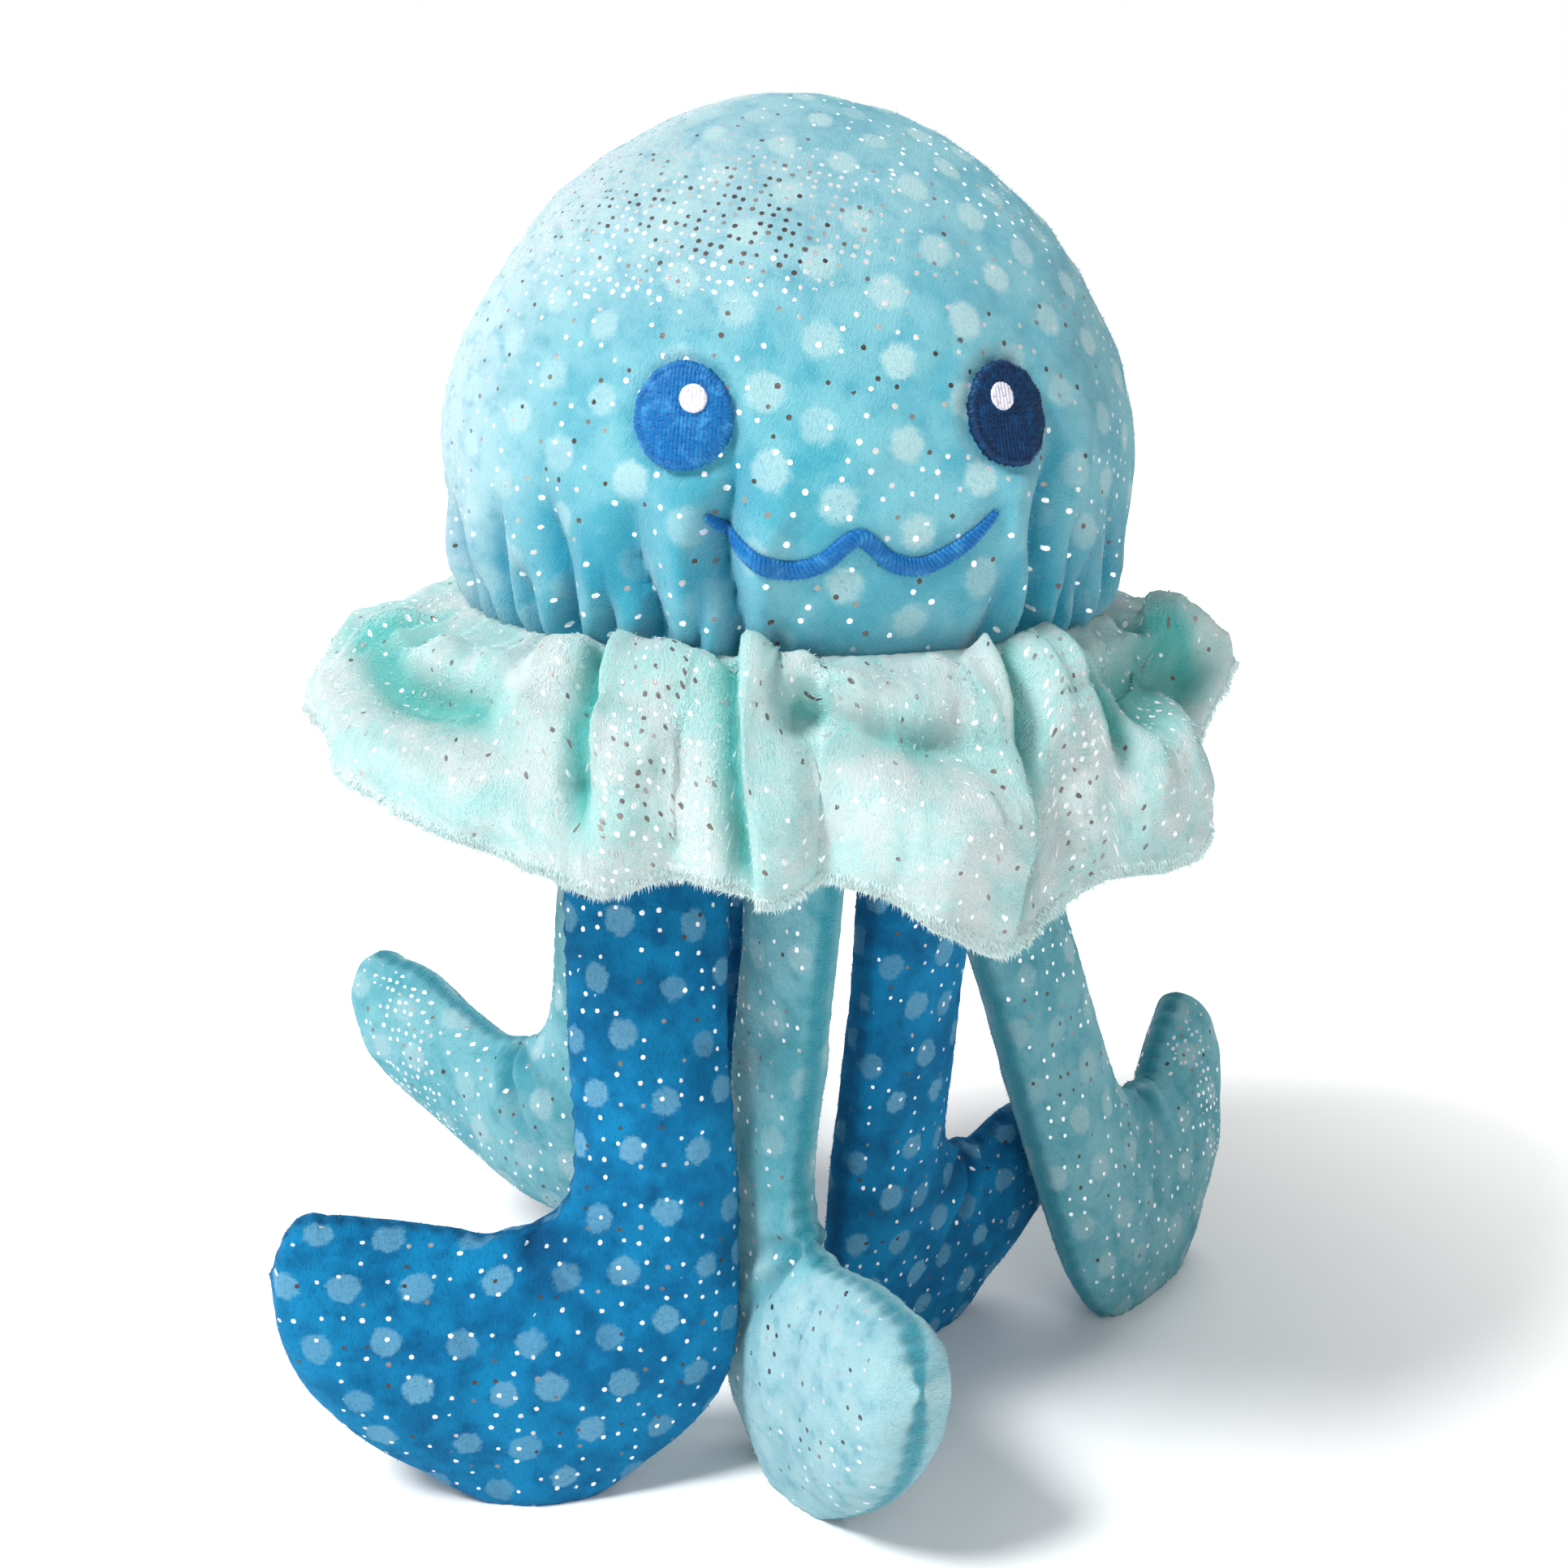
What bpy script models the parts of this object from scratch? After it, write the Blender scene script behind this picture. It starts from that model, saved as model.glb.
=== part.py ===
"""Plush jellyfish dog toy.

A stuffed head of two velvet-plush panels over a base panel, with a squeaker in its filling, a gathered two-layer ruffle
round its neck, and six boot-shaped arms. Each arm is two flat-cut panels sewn edge to edge round a filling.
The face looks along -Y and +Z is up. The shapes are worked out round the head's own upright axis; at the end everything is
moved so that the origin is on the floor, in the middle of the toy's box. Metres.
"""

import math

import bmesh
import bpy
from mathutils import Vector

MM = 0.001

# ---- driving dimensions, in millimetres -----------------------------------------------------------------------------
GAP = 0.3  # clearance between pieces that touch
CLOTH = 1.3  # thickness of the velvet plush, backing and pile

HEAD_R = 70.4  # half width of the head
NECK_R = 64.6  # radius of the neck seam
NECK_Z = 191.0  # height of the neck seam
HEAD_MID_Z = 219.0  # height of the widest place
HEAD_TOP_Z = 291.0  # crown
SEAM_TILT = 14.0  # the side seam leans back over the crown by this many degrees

RUFFLE_ROOT_R = NECK_R + 1.6
RUFFLE_ROOT_Z = NECK_Z + 1.8
RUFFLE_CLOTH = 1.1

LEG_TOP_Z = NECK_Z - 4.2
FLOOR_Z = 4.8  # the five feet that carry the toy are pressed flat at this height, which becomes z = 0


# ---- small helpers ---------------------------------------------------------------------------------------------------
def polar(azimuth, radius):
    """A floor point. Azimuth 0 is in front of the face (-Y), and +90 is +X."""
    a = math.radians(azimuth)
    return (radius * math.sin(a), -radius * math.cos(a))


def catmull(points, u):
    """Point at parameter u (0 to len-1) of the spline through these points."""
    n = len(points) - 1
    i = min(int(u), n - 1)
    f = u - i
    p1, p2 = points[i], points[i + 1]
    p0 = points[i - 1] if i > 0 else [2 * a - b for a, b in zip(p1, p2)]
    p3 = points[i + 2] if i + 2 <= n else [2 * b - a for a, b in zip(p1, p2)]
    out = []
    for a, b, c, d in zip(p0, p1, p2, p3):
        out.append(
            0.5
            * (
                2 * b
                + (c - a) * f
                + (2 * a - 5 * b + 4 * c - d) * f * f
                + (3 * b - a - 3 * c + d) * f * f * f
            )
        )
    return out


def ring_value(table, azimuth, column):
    """Smooth value round the ring of a table whose first column is azimuth in degrees, rising within -180 to 180."""
    a = (azimuth + 180.0) % 360.0 - 180.0
    rows = [(table[-1][0] - 360.0,) + tuple(table[-1][1:])]
    rows = (
        [(r[0] - 360.0,) + tuple(r[1:]) for r in table[-2:]]
        + list(table)
        + [(r[0] + 360.0,) + tuple(r[1:]) for r in table[:2]]
    )
    for i in range(1, len(rows) - 2):
        if rows[i][0] <= a <= rows[i + 1][0]:
            f = (a - rows[i][0]) / (rows[i + 1][0] - rows[i][0])
            f = f * f * (3 - 2 * f)
            return rows[i][column] * (1 - f) + rows[i + 1][column] * f
    return rows[2][column]


def make_material(name, colour, rough, metal=0.0):
    mat = bpy.data.materials.new(name)
    mat.use_nodes = True
    bsdf = mat.node_tree.nodes["Principled BSDF"]
    bsdf.inputs["Base Color"].default_value = (*colour, 1.0)
    bsdf.inputs["Roughness"].default_value = rough
    bsdf.inputs["Metallic"].default_value = metal
    return mat


def add_object(name, verts, faces, mat, collection, smooth=True):
    """One closed body from millimetre points, its faces turned outward."""
    bm = bmesh.new()
    made = [bm.verts.new([c * MM for c in v]) for v in verts]
    for f in faces:
        keep = []
        for i in f:
            if made[i] not in keep:
                keep.append(made[i])
        if len(keep) > 2:
            bm.faces.new(keep)
    bmesh.ops.triangulate(bm, faces=bm.faces[:])
    bmesh.ops.recalc_face_normals(bm, faces=bm.faces[:])
    if bm.calc_volume(signed=True) < 0:
        bmesh.ops.reverse_faces(bm, faces=bm.faces[:])
    mesh = bpy.data.meshes.new(name)
    bm.to_mesh(mesh)
    bm.free()
    obj = bpy.data.objects.new(name, mesh)
    collection.objects.link(obj)
    mesh.materials.append(mat)
    if smooth:
        mesh.shade_smooth()
        mesh.set_sharp_from_angle(angle=math.radians(50))
    return obj


def grid_faces(rows, cols, base=0, flip=False, wrap=False):
    faces = []
    for i in range(rows - 1):
        for j in range(cols if wrap else cols - 1):
            k = (j + 1) % cols
            f = (
                base + i * cols + j,
                base + i * cols + k,
                base + (i + 1) * cols + k,
                base + (i + 1) * cols + j,
            )
            faces.append(f[::-1] if flip else f)
    return faces


# ---- arms ------------------------------------------------------------------------------------------------------------
# Each arm: name, colour, where its leg is sewn on (azimuth, radius), its ankle (azimuth, radius, height), the way its
# foot points (azimuth), the foot's upward pitch, and in mm: half width of the leg at the top and at the ankle, foot length from the
# ankle to the toe, half depth of the foot under and over its axis, half depth of the toe, curl of the toe, and the stuffed
# half thickness of the leg and of the foot across the flat pattern.
ARMS = [
    # name, colour, top az, top r, ankle az, ankle r, ankle z, foot az, pitch, w top, w ankle, length, under, over, toe, curl, leg t, foot t
    ("front_left", "blue", -60.0, 37.0, -44.6, 49.0, 31.0, -94.0, 16.0, 18.5, 17.0, 82.0, 33.0, 22.5, 24.0, 2.0, 8.4, 10.5),
    ("front_middle", "aqua", 0.0, 33.5, -22.0, 22.0, 28.0, 18.0, 16.0, 17.0, 14.5, 72.0, 30.5, 24.0, 22.0, 4.0, 7.6, 11.0),
    ("front_right", "blue", 55.0, 35.0, 100.0, 25.5, 21.5, 129.0, 18.0, 18.0, 17.0, 71.0, 24.0, 21.0, 16.0, 3.0, 8.6, 9.0),
    ("back_right", "aqua", 118.0, 36.0, 104.5, 93.5, 17.8, 134.0, 30.0, 18.5, 18.0, 70.0, 24.0, 20.0, 15.0, 13.0, 8.6, 9.5),
    ("back_middle", "blue", 160.0, 36.0, -168.0, 75.0, 22.0, -179.0, 18.0, 18.0, 16.0, 76.0, 24.0, 22.0, 17.0, 6.0, 8.6, 10.0),
    ("back_left", "aqua", -120.0, 34.0, -124.0, 52.0, 46.0, -140.0, 16.0, 17.5, 14.5, 84.0, 14.0, 20.0, 15.0, 8.0, 8.6, 9.5),
]


def arm_frame(arm):
    """Corner points of the arm's flat pattern in its own plane: origin at the ankle, x along the floor the way the foot
    points, z up the leg. Returns (inner edge, outer edge, origin, x axis, z axis, plane normal)."""
    (_, _, top_az, top_r, ank_az, ank_r, ank_z, foot_az, pitch, w_top, w_ank, length, under, over, toe, curl, leg_t, foot_t) = arm
    tx, ty = polar(top_az, top_r)
    ax, ay = polar(ank_az, ank_r)
    top = Vector((tx, ty, LEG_TOP_Z))
    ankle = Vector((ax, ay, ank_z))
    fx, fy = polar(foot_az, 1.0)
    forward = Vector((fx, fy, 0.0))
    up = (top - ankle).normalized()
    normal = up.cross(forward).normalized()
    leg = (top - ankle).length
    # lean of the leg within the plane, measured from the plane's own axes
    z_axis = (up - forward * up.dot(forward)).normalized()
    lean = math.atan2(up.dot(forward), up.dot(z_axis))
    lx, lz = math.sin(lean), math.cos(lean)  # up the leg
    nx, nz = math.cos(lean), -math.sin(lean)  # across the leg, towards the toe
    p = math.radians(pitch)
    fa, fb = (math.cos(p), math.sin(p)), (-math.sin(p), math.cos(p))

    def on_leg(along, across):
        return (lx * along + nx * across, lz * along + nz * across)

    def on_foot(along, across):
        return (fa[0] * along + fb[0] * across, fa[1] * along + fb[1] * across)

    corner_x = w_ank * 1.9
    inner = [
        (lx * leg + w_top, lz * leg),
        on_leg(leg * 0.74, w_top * 0.55 + w_ank * 0.45),
        on_leg(leg * 0.48, w_ank),
        on_leg(over + leg * 0.12, w_ank * 1.0),
        on_foot(corner_x + over * 0.32, over * 1.02),
        on_foot(length * 0.60, over * 0.98),
        on_foot(length * 0.78, over * 0.86 + curl * 0.5),
        on_foot(length * 0.93, toe * 0.62 + curl),
        on_foot(length, toe * 0.05 + curl),
    ]
    outer = [
        (lx * leg - w_top, lz * leg),
        on_leg(leg * 0.74, -w_top * 0.6 - w_ank * 0.45),
        on_leg(leg * 0.48, -w_ank * 1.06),
        on_leg(over + leg * 0.07, -w_ank * 1.2),
        on_foot(-w_ank * 0.98, -under * 0.02),
        on_foot(w_ank * 0.55, -under * 0.97),
        on_foot(length * 0.52, -under * 0.96),
        on_foot(length * 0.83, -toe * 0.82 + curl * 0.3),
        on_foot(length, toe * 0.05 + curl),
    ]
    return inner, outer, ankle, forward, z_axis, normal, leg_t, foot_t


def arm_rows(count):
    """Spline parameters of the cross rows: denser round the ankle and the toe."""
    out = []
    for i in range(count):
        f = i / (count - 1)
        u = 8.0 * f
        out.append(min(8.0, u + 0.28 * math.sin(f * math.pi) ** 2 + 0.42 * math.sin(math.pi * f) * f))
    out[-1] = 8.0
    return out


def pressed(z, floor):
    """Height of a point of a foot that stands on the floor: the lowest 1.8 mm are squashed flat, and what is above fills out."""
    up = z - floor
    if up >= 8.0:
        return z
    return floor + max(0.0, up - 1.8) * 8.0 / 6.2


def arm_point(frame, u, t, side, inset, lift, drop):
    """A point of the arm. u runs down the arm, t across it from the inner edge (-1) to the outer edge (1). side is +1 or -1 of
    the flat plane, inset pulls both edges in, lift is the height off the plane at the edge, drop thins the bulge."""
    inner, outer, origin, x_axis, z_axis, normal, leg_t, foot_t = frame
    a, b = catmull(inner, u), catmull(outer, u)
    # the tip rounds off: the two edges meet there
    cx, cz = (a[0] + b[0]) / 2, (a[1] + b[1]) / 2
    hx, hz = (b[0] - a[0]) / 2, (b[1] - a[1]) / 2
    half = math.hypot(hx, hz)
    k = max(0.0, (half - inset) / half) if half > 1e-6 else 0.0
    end = min(1.0, (8.0 - u) / 1.7)
    round_off = math.sqrt(max(0.0, 1 - (1 - end) ** 2))
    thick = leg_t + (foot_t - leg_t) * max(0.0, min(1.0, (u - 3.0) / 1.6))
    thick = min(thick, max(0.0, half * 0.95) + 0.6) * round_off
    bulge = max(0.0, thick - drop) * max(0.0, 1 - abs(t) ** 2.2) ** 0.62
    if inset > 0 and u > 7.0:
        # keep inner skins clear of the toe's end
        back = inset * (u - 7.0)
        dx, dz = cx - (inner[6][0] + outer[6][0]) / 2, cz - (inner[6][1] + outer[6][1]) / 2
        d = math.hypot(dx, dz) or 1.0
        cx, cz = cx - dx / d * back, cz - dz / d * back
    x, z = cx + hx * k * t, cz + hz * k * t
    point = origin + x_axis * x + z_axis * z + normal * (side * (lift + bulge))
    point.z = min(pressed(point.z, FLOOR_Z + drop), LEG_TOP_Z + 0.5)
    return point


def arm_skin(frame, us, ts, side, inset, lift, drop):
    verts = []
    for u in us:
        for t in ts:
            verts.append(arm_point(frame, u, t, side, inset, lift, drop))
    return verts


def build_arm(arm, mats, collection):
    frame = arm_frame(arm)
    us = arm_rows(15)
    ts = [-1.0, -0.93, -0.6, 0.0, 0.6, 0.93, 1.0]
    n, m = len(us), len(ts)
    for label, side in (("left", 1), ("right", -1)):
        outside = arm_skin(frame, us, ts, side, 0.0, GAP / 2, 0.0)
        inside = arm_skin(frame, us, ts, side, CLOTH, GAP / 2, CLOTH)
        # each skin closes to one point at the toe
        outside = outside[: (n - 1) * m] + [arm_point(frame, 8.0, 0.0, side, 0.0, GAP / 2, 0.0)]
        inside = inside[: (n - 1) * m] + [arm_point(frame, 8.0, 0.0, side, CLOTH, GAP / 2, CLOTH)]
        off = len(outside)
        verts = outside + inside
        faces = grid_faces(n - 1, m) + grid_faces(n - 1, m, off, True)
        tip_o, tip_i = off - 1, off + len(inside) - 1
        for j in range(m - 1):
            r = (n - 2) * m
            faces.append((r + j, r + j + 1, tip_o))
            faces.append((off + r + j + 1, off + r + j, tip_i))
            faces.append((j + 1, j, off + j, off + j + 1))
        for i in range(n - 1):
            r0, r1 = i * m, min((i + 1) * m, off - 1)
            faces.append((r0, r1, off + r1, off + r0))
            q0, q1 = i * m + m - 1, (i + 1) * m + m - 1 if i < n - 2 else off - 1
            faces.append((q1, q0, off + q0, off + q1))
        add_object("arm_%s_%s_panel" % (arm[0], label), verts, faces, mats[arm[1]], collection)
    # filling
    us = [0.03] + [u for u in us[1:] if u < 7.1] + [7.3, 7.55]
    n, m = len(us), len(ts)
    inset, drop = CLOTH + GAP + 1.6, CLOTH + GAP + 0.8
    rows = []
    for u in us[:-1]:
        upper = [arm_point(frame, u, t, 1, inset, GAP / 2, drop) for t in ts]
        lower = [arm_point(frame, u, t, -1, inset, GAP / 2, drop) for t in reversed(ts[1:-1])]
        for p, t in ((0, -1), (m - 1, 1)):
            upper[p] = arm_point(frame, u, t, 1, inset, 0.0, drop)
        rows.append(upper + lower)
    c = len(rows[0])
    verts = [v for row in rows for v in row]
    tip = arm_point(frame, us[-1], 0.0, 1, inset, 0.0, drop)
    verts.append(tip)
    faces = grid_faces(n - 1, c, 0, False, True)
    last = (n - 2) * c
    for j in range(c):
        faces.append((last + j, last + (j + 1) % c, len(verts) - 1))
    verts.append(sum((rows[0][j] for j in range(c)), Vector()) / c)
    for j in range(c):
        faces.append(((j + 1) % c, j, len(verts) - 1))
    add_object("arm_%s_stuffing" % arm[0], verts, faces, mats["fill"], collection)


# ---- head ------------------------------------------------------------------------------------------------------------
def head_radius(z):
    """Horizontal radius of the head's outside at height z."""
    if z >= HEAD_MID_Z:
        f = (z - HEAD_MID_Z) / (HEAD_TOP_Z - HEAD_MID_Z)
        return HEAD_R * max(0.0, 1 - min(1.0, f) ** 1.86) ** 0.5
    f = (HEAD_MID_Z - z) / (HEAD_MID_Z - NECK_Z)
    return HEAD_R - (HEAD_R - NECK_R) * f**2


def head_profile(f):
    """(radius, height) at f from 0, the crown, to 1, the neck seam."""
    split = 0.78
    if f <= split:
        a = (1 - f / split) * math.pi / 2
        z = HEAD_MID_Z + (HEAD_TOP_Z - HEAD_MID_Z) * math.sin(a)
        return head_radius(z), z
    z = HEAD_MID_Z - (HEAD_MID_Z - NECK_Z) * (f - split) / (1 - split)
    return head_radius(z), z


def head_skin_point(azimuth, f, inset):
    """A point of the head. azimuth 0 is the face."""
    r, z = head_profile(f)
    # normal of the profile, for an even wall
    r2, z2 = head_profile(min(1.0, f + 0.004))
    r1, z1 = head_profile(max(0.0, f - 0.004))
    tr, tz = r2 - r1, z2 - z1
    length = math.hypot(tr, tz) or 1.0
    nr, nz = -tz / length, tr / length
    r = max(0.0, r - inset * nr)
    z = z - inset * nz
    x, y = polar(azimuth, r)
    return Vector((x, y, z))


def seam_split(azimuth, f, front):
    """Azimuths of the front panel run -90 to 90 and those of the back panel 90 to 270, and the seam leans back towards the
    crown, so each panel's azimuths are mapped to it."""
    lean = SEAM_TILT * (1 - f) ** 0.7
    half = 90.0 + lean * 1.4 if front else 90.0 - lean * 1.4
    if front:
        return azimuth / 90.0 * half
    return 180.0 + (azimuth - 180.0) / 90.0 * half


def build_head_panel(name, front, mats, collection):
    nf, na = 13, 17
    edge = math.degrees(GAP / 2 / HEAD_R) * 1.2
    skins = []
    for inset in (0.0, CLOTH):
        verts = []
        for i in range(nf):
            f = 0.012 + (0.999 - 0.012) * (i / (nf - 1)) ** 0.92
            for j in range(na):
                a = -90.0 + 180.0 * j / (na - 1)
                if not front:
                    a += 180.0
                a = seam_split(a, f, front)
                r = max(4.0, head_profile(f)[0])
                shift = math.degrees((GAP / 2 + 0.05) / r)
                if j == 0:
                    a += shift
                if j == na - 1:
                    a -= shift
                verts.append(head_skin_point(a, f, inset))
        skins.append(verts)
    off = len(skins[0])
    verts = skins[0] + skins[1]
    faces = grid_faces(nf, na) + grid_faces(nf, na, off, True)
    for j in range(na - 1):
        faces.append((j + 1, j, off + j, off + j + 1))
        q = (nf - 1) * na + j
        faces.append((q, q + 1, off + q + 1, off + q))
    for i in range(nf - 1):
        a, b = i * na, (i + 1) * na
        faces.append((a, b, off + b, off + a))
        a, b = a + na - 1, b + na - 1
        faces.append((b, a, off + a, off + b))
    return add_object(name, verts, faces, mats["aqua_head"], collection)


def lathe(name, profile, steps, mat, collection, at=(0.0, 0.0)):
    """A turned piece: a profile of (radius, height) in mm down its outer side, as a Screw modifier."""
    mesh = bpy.data.meshes.new(name)
    verts = [(max(r, 0.0) * MM, 0.0, z * MM) for r, z in profile]
    edges = [(i, i + 1) for i in range(len(profile) - 1)]
    if profile[0][0] > 0.001 and profile[-1][0] > 0.001:
        edges.append((len(profile) - 1, 0))
    mesh.from_pydata(verts, edges, [])
    obj = bpy.data.objects.new(name, mesh)
    collection.objects.link(obj)
    mesh.materials.append(mat)
    screw = obj.modifiers.new("turn", "SCREW")
    screw.steps = screw.render_steps = steps
    screw.use_merge_vertices = True
    screw.merge_threshold = 0.00001
    screw.use_smooth_shade = True
    obj.location = (at[0] * MM, at[1] * MM, 0.0)
    return obj


def build_head(mats, collection):
    build_head_panel("head_front_panel", True, mats, collection)
    build_head_panel("head_back_panel", False, mats, collection)

    # the base panel closes the neck, just inside the seam, and sags a little in the middle
    r_base = NECK_R - CLOTH - 3.2
    top = [(r_base, NECK_Z + 0.6), (r_base, NECK_Z - 0.6)]
    under = [(r_base * k, NECK_Z - 0.7 - 0.6 * (1 - k * k)) for k in (0.6, 0.0)]
    over = [(r_base * k, NECK_Z + 0.6 - 0.6 * (1 - k * k)) for k in (0.0, 0.6)]
    lathe("base_panel", over + top + under, 32, mats["aqua_head"], collection)

    # the filling holds a pocket for the squeaker, open through the filling's underside
    inset = CLOTH + GAP + 0.7
    pocket_r, pocket_top, pocket_bottom = 20.0, 252.0, NECK_Z + 1.2
    profile = []
    steps = 11
    for i in range(steps):
        f = 0.0 + 0.985 * i / (steps - 1)
        r, z = head_profile(f)
        r2, z2 = head_profile(min(1.0, f + 0.004))
        r1, z1 = head_profile(max(0.0, f - 0.004))
        length = math.hypot(r2 - r1, z2 - z1)
        nr, nz = -(z2 - z1) / length, (r2 - r1) / length
        low = max(0.0, min(1.0, (NECK_Z + 26.0 - z) / 26.0))
        profile.append((max(0.0, r - inset * nr - 3.6 * low), z - inset * nz))
    profile[0] = (0.0, HEAD_TOP_Z - inset)
    profile.append((pocket_r + 14.0, pocket_bottom))
    profile.append((pocket_r - 6.0, pocket_bottom))
    for k in range(6):
        a = math.pi / 2 * k / 5
        profile.append((pocket_r * math.cos(a) if k else pocket_r, pocket_top - 18 + 18 * math.sin(a)))
    profile[-1] = (0.0, pocket_top)
    lathe("head_stuffing", profile, 28, mats["fill"], collection)

    # squeaker: a blown bulb with a neck below that holds the reed plug
    bulb_z, bulb_r, bulb_h = 229.0, 17.5, 15.0
    outer, inner = [], []
    for k in range(9):
        a = math.pi / 2 - (math.pi / 2 + 1.08) * k / 8
        outer.append((bulb_r * math.cos(a), bulb_z + bulb_h * math.sin(a)))
        inner.append(((bulb_r - 1.2) * math.cos(a), bulb_z + (bulb_h - 1.2) * math.sin(a)))
    outer[0] = (0.0, bulb_z + bulb_h)
    inner[0] = (0.0, bulb_z + bulb_h - 1.2)
    neck = [(7.2, bulb_z - bulb_h - 1.0), (7.2, bulb_z - bulb_h - 6.0), (6.0, bulb_z - bulb_h - 6.0), (6.0, bulb_z - bulb_h - 1.0)]
    lathe("squeaker_bulb", outer + neck + inner[::-1], 24, mats["rubber"], collection)
    z0 = bulb_z - bulb_h
    plug = [(0.0, z0 + 3.0), (2.0, z0 + 3.0), (5.6, z0 + 0.0), (5.6, z0 - 6.4), (7.6, z0 - 6.4), (7.6, z0 - 7.8), (1.2, z0 - 7.8), (1.2, z0 - 2.0), (0.0, z0 - 2.0)]
    lathe("squeaker_reed", plug, 20, mats["reed"], collection)


# ---- face embroidery: thin pads on the front panel -------------------------------------------------------------------
EYE_AZ, EYE_Z, EYE_W, EYE_H = 25.7, 235.4, 9.3, 9.3


def on_head(azimuth, z, lift):
    """A point just off the head's outside at this azimuth and height."""
    r = head_radius(z)
    dz = 0.2
    slope = (head_radius(z + dz) - head_radius(z - dz)) / (2 * dz)
    length = math.hypot(1.0, slope)
    rr = r + lift / length
    x, y = polar(azimuth, rr)
    return Vector((x, y, z - lift * slope / length))


def pad(name, outline, mat, collection, low, high, rings=3):
    """A flat pad wrapped on the head. outline(a) gives (sideways, up) from the pad's centre, in mm, and centre is its place."""
    (centre_az, centre_z), edge, count = outline
    verts, faces = [], []
    r0 = head_radius(centre_z)
    for lift in (high, low):
        start = len(verts)
        verts.append(on_head(centre_az, centre_z, lift))
        for ring in range(1, rings + 1):
            k = ring / rings
            for j in range(count):
                dx, dz = edge(2 * math.pi * j / count)
                dome = lift if lift == low else lift - 0.35 * k**3
                verts.append(on_head(centre_az + math.degrees(dx * k / r0), centre_z + dz * k * 0.97, dome))
        for j in range(count):
            f = (start, start + 1 + j, start + 1 + (j + 1) % count)
            faces.append(f if lift == high else f[::-1])
        for ring in range(1, rings):
            b = start + 1 + (ring - 1) * count
            for j in range(count):
                k = (j + 1) % count
                f = (b + j, b + count + j, b + count + k, b + k)
                faces.append(f if lift == high else f[::-1])
    per = 1 + rings * count
    b0, b1 = 1 + (rings - 1) * count, per + 1 + (rings - 1) * count
    for j in range(count):
        k = (j + 1) % count
        faces.append((b0 + j, b1 + j, b1 + k, b0 + k))
    add_object(name, verts, faces, mat, collection)


MOUTH = [(-21.6, 218.4, 0.5), (-18.6, 214.7, 1.2), (-14.2, 211.2, 1.5), (-9.5, 209.2, 1.6), (-4.8, 210.5, 1.6), (0.4, 214.9, 1.5),
         (5.4, 210.5, 1.6), (10.0, 209.2, 1.6), (14.6, 211.2, 1.5), (18.9, 214.7, 1.2), (21.9, 218.4, 0.5)]


def build_face(mats, collection):
    for side, sign in (("left", -1), ("right", 1)):
        def oval(a):
            return (EYE_W * math.cos(a), EYE_H * math.sin(a))

        pad("%s_eye_embroidery" % side, ((sign * EYE_AZ, EYE_Z), oval, 28), mats["thread_blue"], collection, GAP, GAP + 1.1)

        def dot(a):
            return (2.1 * math.cos(a), 2.0 * math.sin(a))

        az = sign * EYE_AZ - sign * 1.7
        pad("%s_eye_highlight" % side, ((az, EYE_Z + 2.9), dot, 14), mats["thread_white"], collection, GAP * 2 + 1.1, GAP * 2 + 1.6, 1)
    # the mouth is one satin-stitched stroke
    count = 33
    verts, faces = [], []
    for i in range(count):
        u = 10.0 * i / (count - 1)
        a, z, w = catmull(MOUTH, u)
        a0, z0, _ = catmull(MOUTH, max(0.0, u - 0.05))
        a1, z1, _ = catmull(MOUTH, min(10.0, u + 0.05))
        r = head_radius(z)
        tx, tz = math.radians(a1 - a0) * r, z1 - z0
        length = math.hypot(tx, tz)
        px, pz = -tz / length, tx / length
        w = max(0.45, w)
        for off, lift in ((-w, GAP), (-w * 0.6, GAP + 0.9), (w * 0.6, GAP + 0.9), (w, GAP)):
            verts.append(on_head(a + math.degrees(px * off / r), z + pz * off, lift))
    for i in range(count - 1):
        b = i * 4
        for j in range(4):
            k = (j + 1) % 4
            faces.append((b + j, b + 4 + j, b + 4 + k, b + k))
    faces.append((3, 2, 1, 0))
    b = (count - 1) * 4
    faces.append((b, b + 1, b + 2, b + 3))
    add_object("mouth_embroidery", verts, faces, mats["thread_blue"], collection)


# ---- ruffle ----------------------------------------------------------------------------------------------------------
# The hem round the toy: azimuth, radius, height. Lobes swing out and down, and the folds between them tuck in and up.
HEM = [
    (-176, 93, 146), (-159, 84, 156), (-142, 97, 144), (-126, 88, 156), (-110, 100, 157), (-96, 100, 166), (-83, 98, 173), (-70, 98, 166),
    (-54, 94, 162), (-40, 90, 156), (-31, 87, 152), (-24, 79, 155), (-17, 84, 154), (-11, 85, 152), (-6, 80, 155), (1, 86, 155),
    (9, 90, 147), (16, 88, 141), (26, 85, 145), (34, 87, 150), (42, 93, 150), (49, 95, 152), (58, 88, 166), (69, 93, 181),
    (82, 92, 170), (97, 97, 156), (111, 86, 158), (125, 96, 145), (141, 86, 156), (156, 96, 144), (171, 88, 152),
]


def ruffle_surface(azimuth, t):
    """A point of the ruffle's face, t from 0 at the neck seam to 1 at the hem."""
    r1 = ring_value(HEM, azimuth, 1)
    z1 = ring_value(HEM, azimuth, 2)
    r = RUFFLE_ROOT_R + (r1 - RUFFLE_ROOT_R) * (1 - (1 - t) ** 1.86)
    z = RUFFLE_ROOT_Z + (z1 - RUFFLE_ROOT_Z) * t**1.35
    x, y = polar(azimuth, r)
    return Vector((x, y, z))


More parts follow.
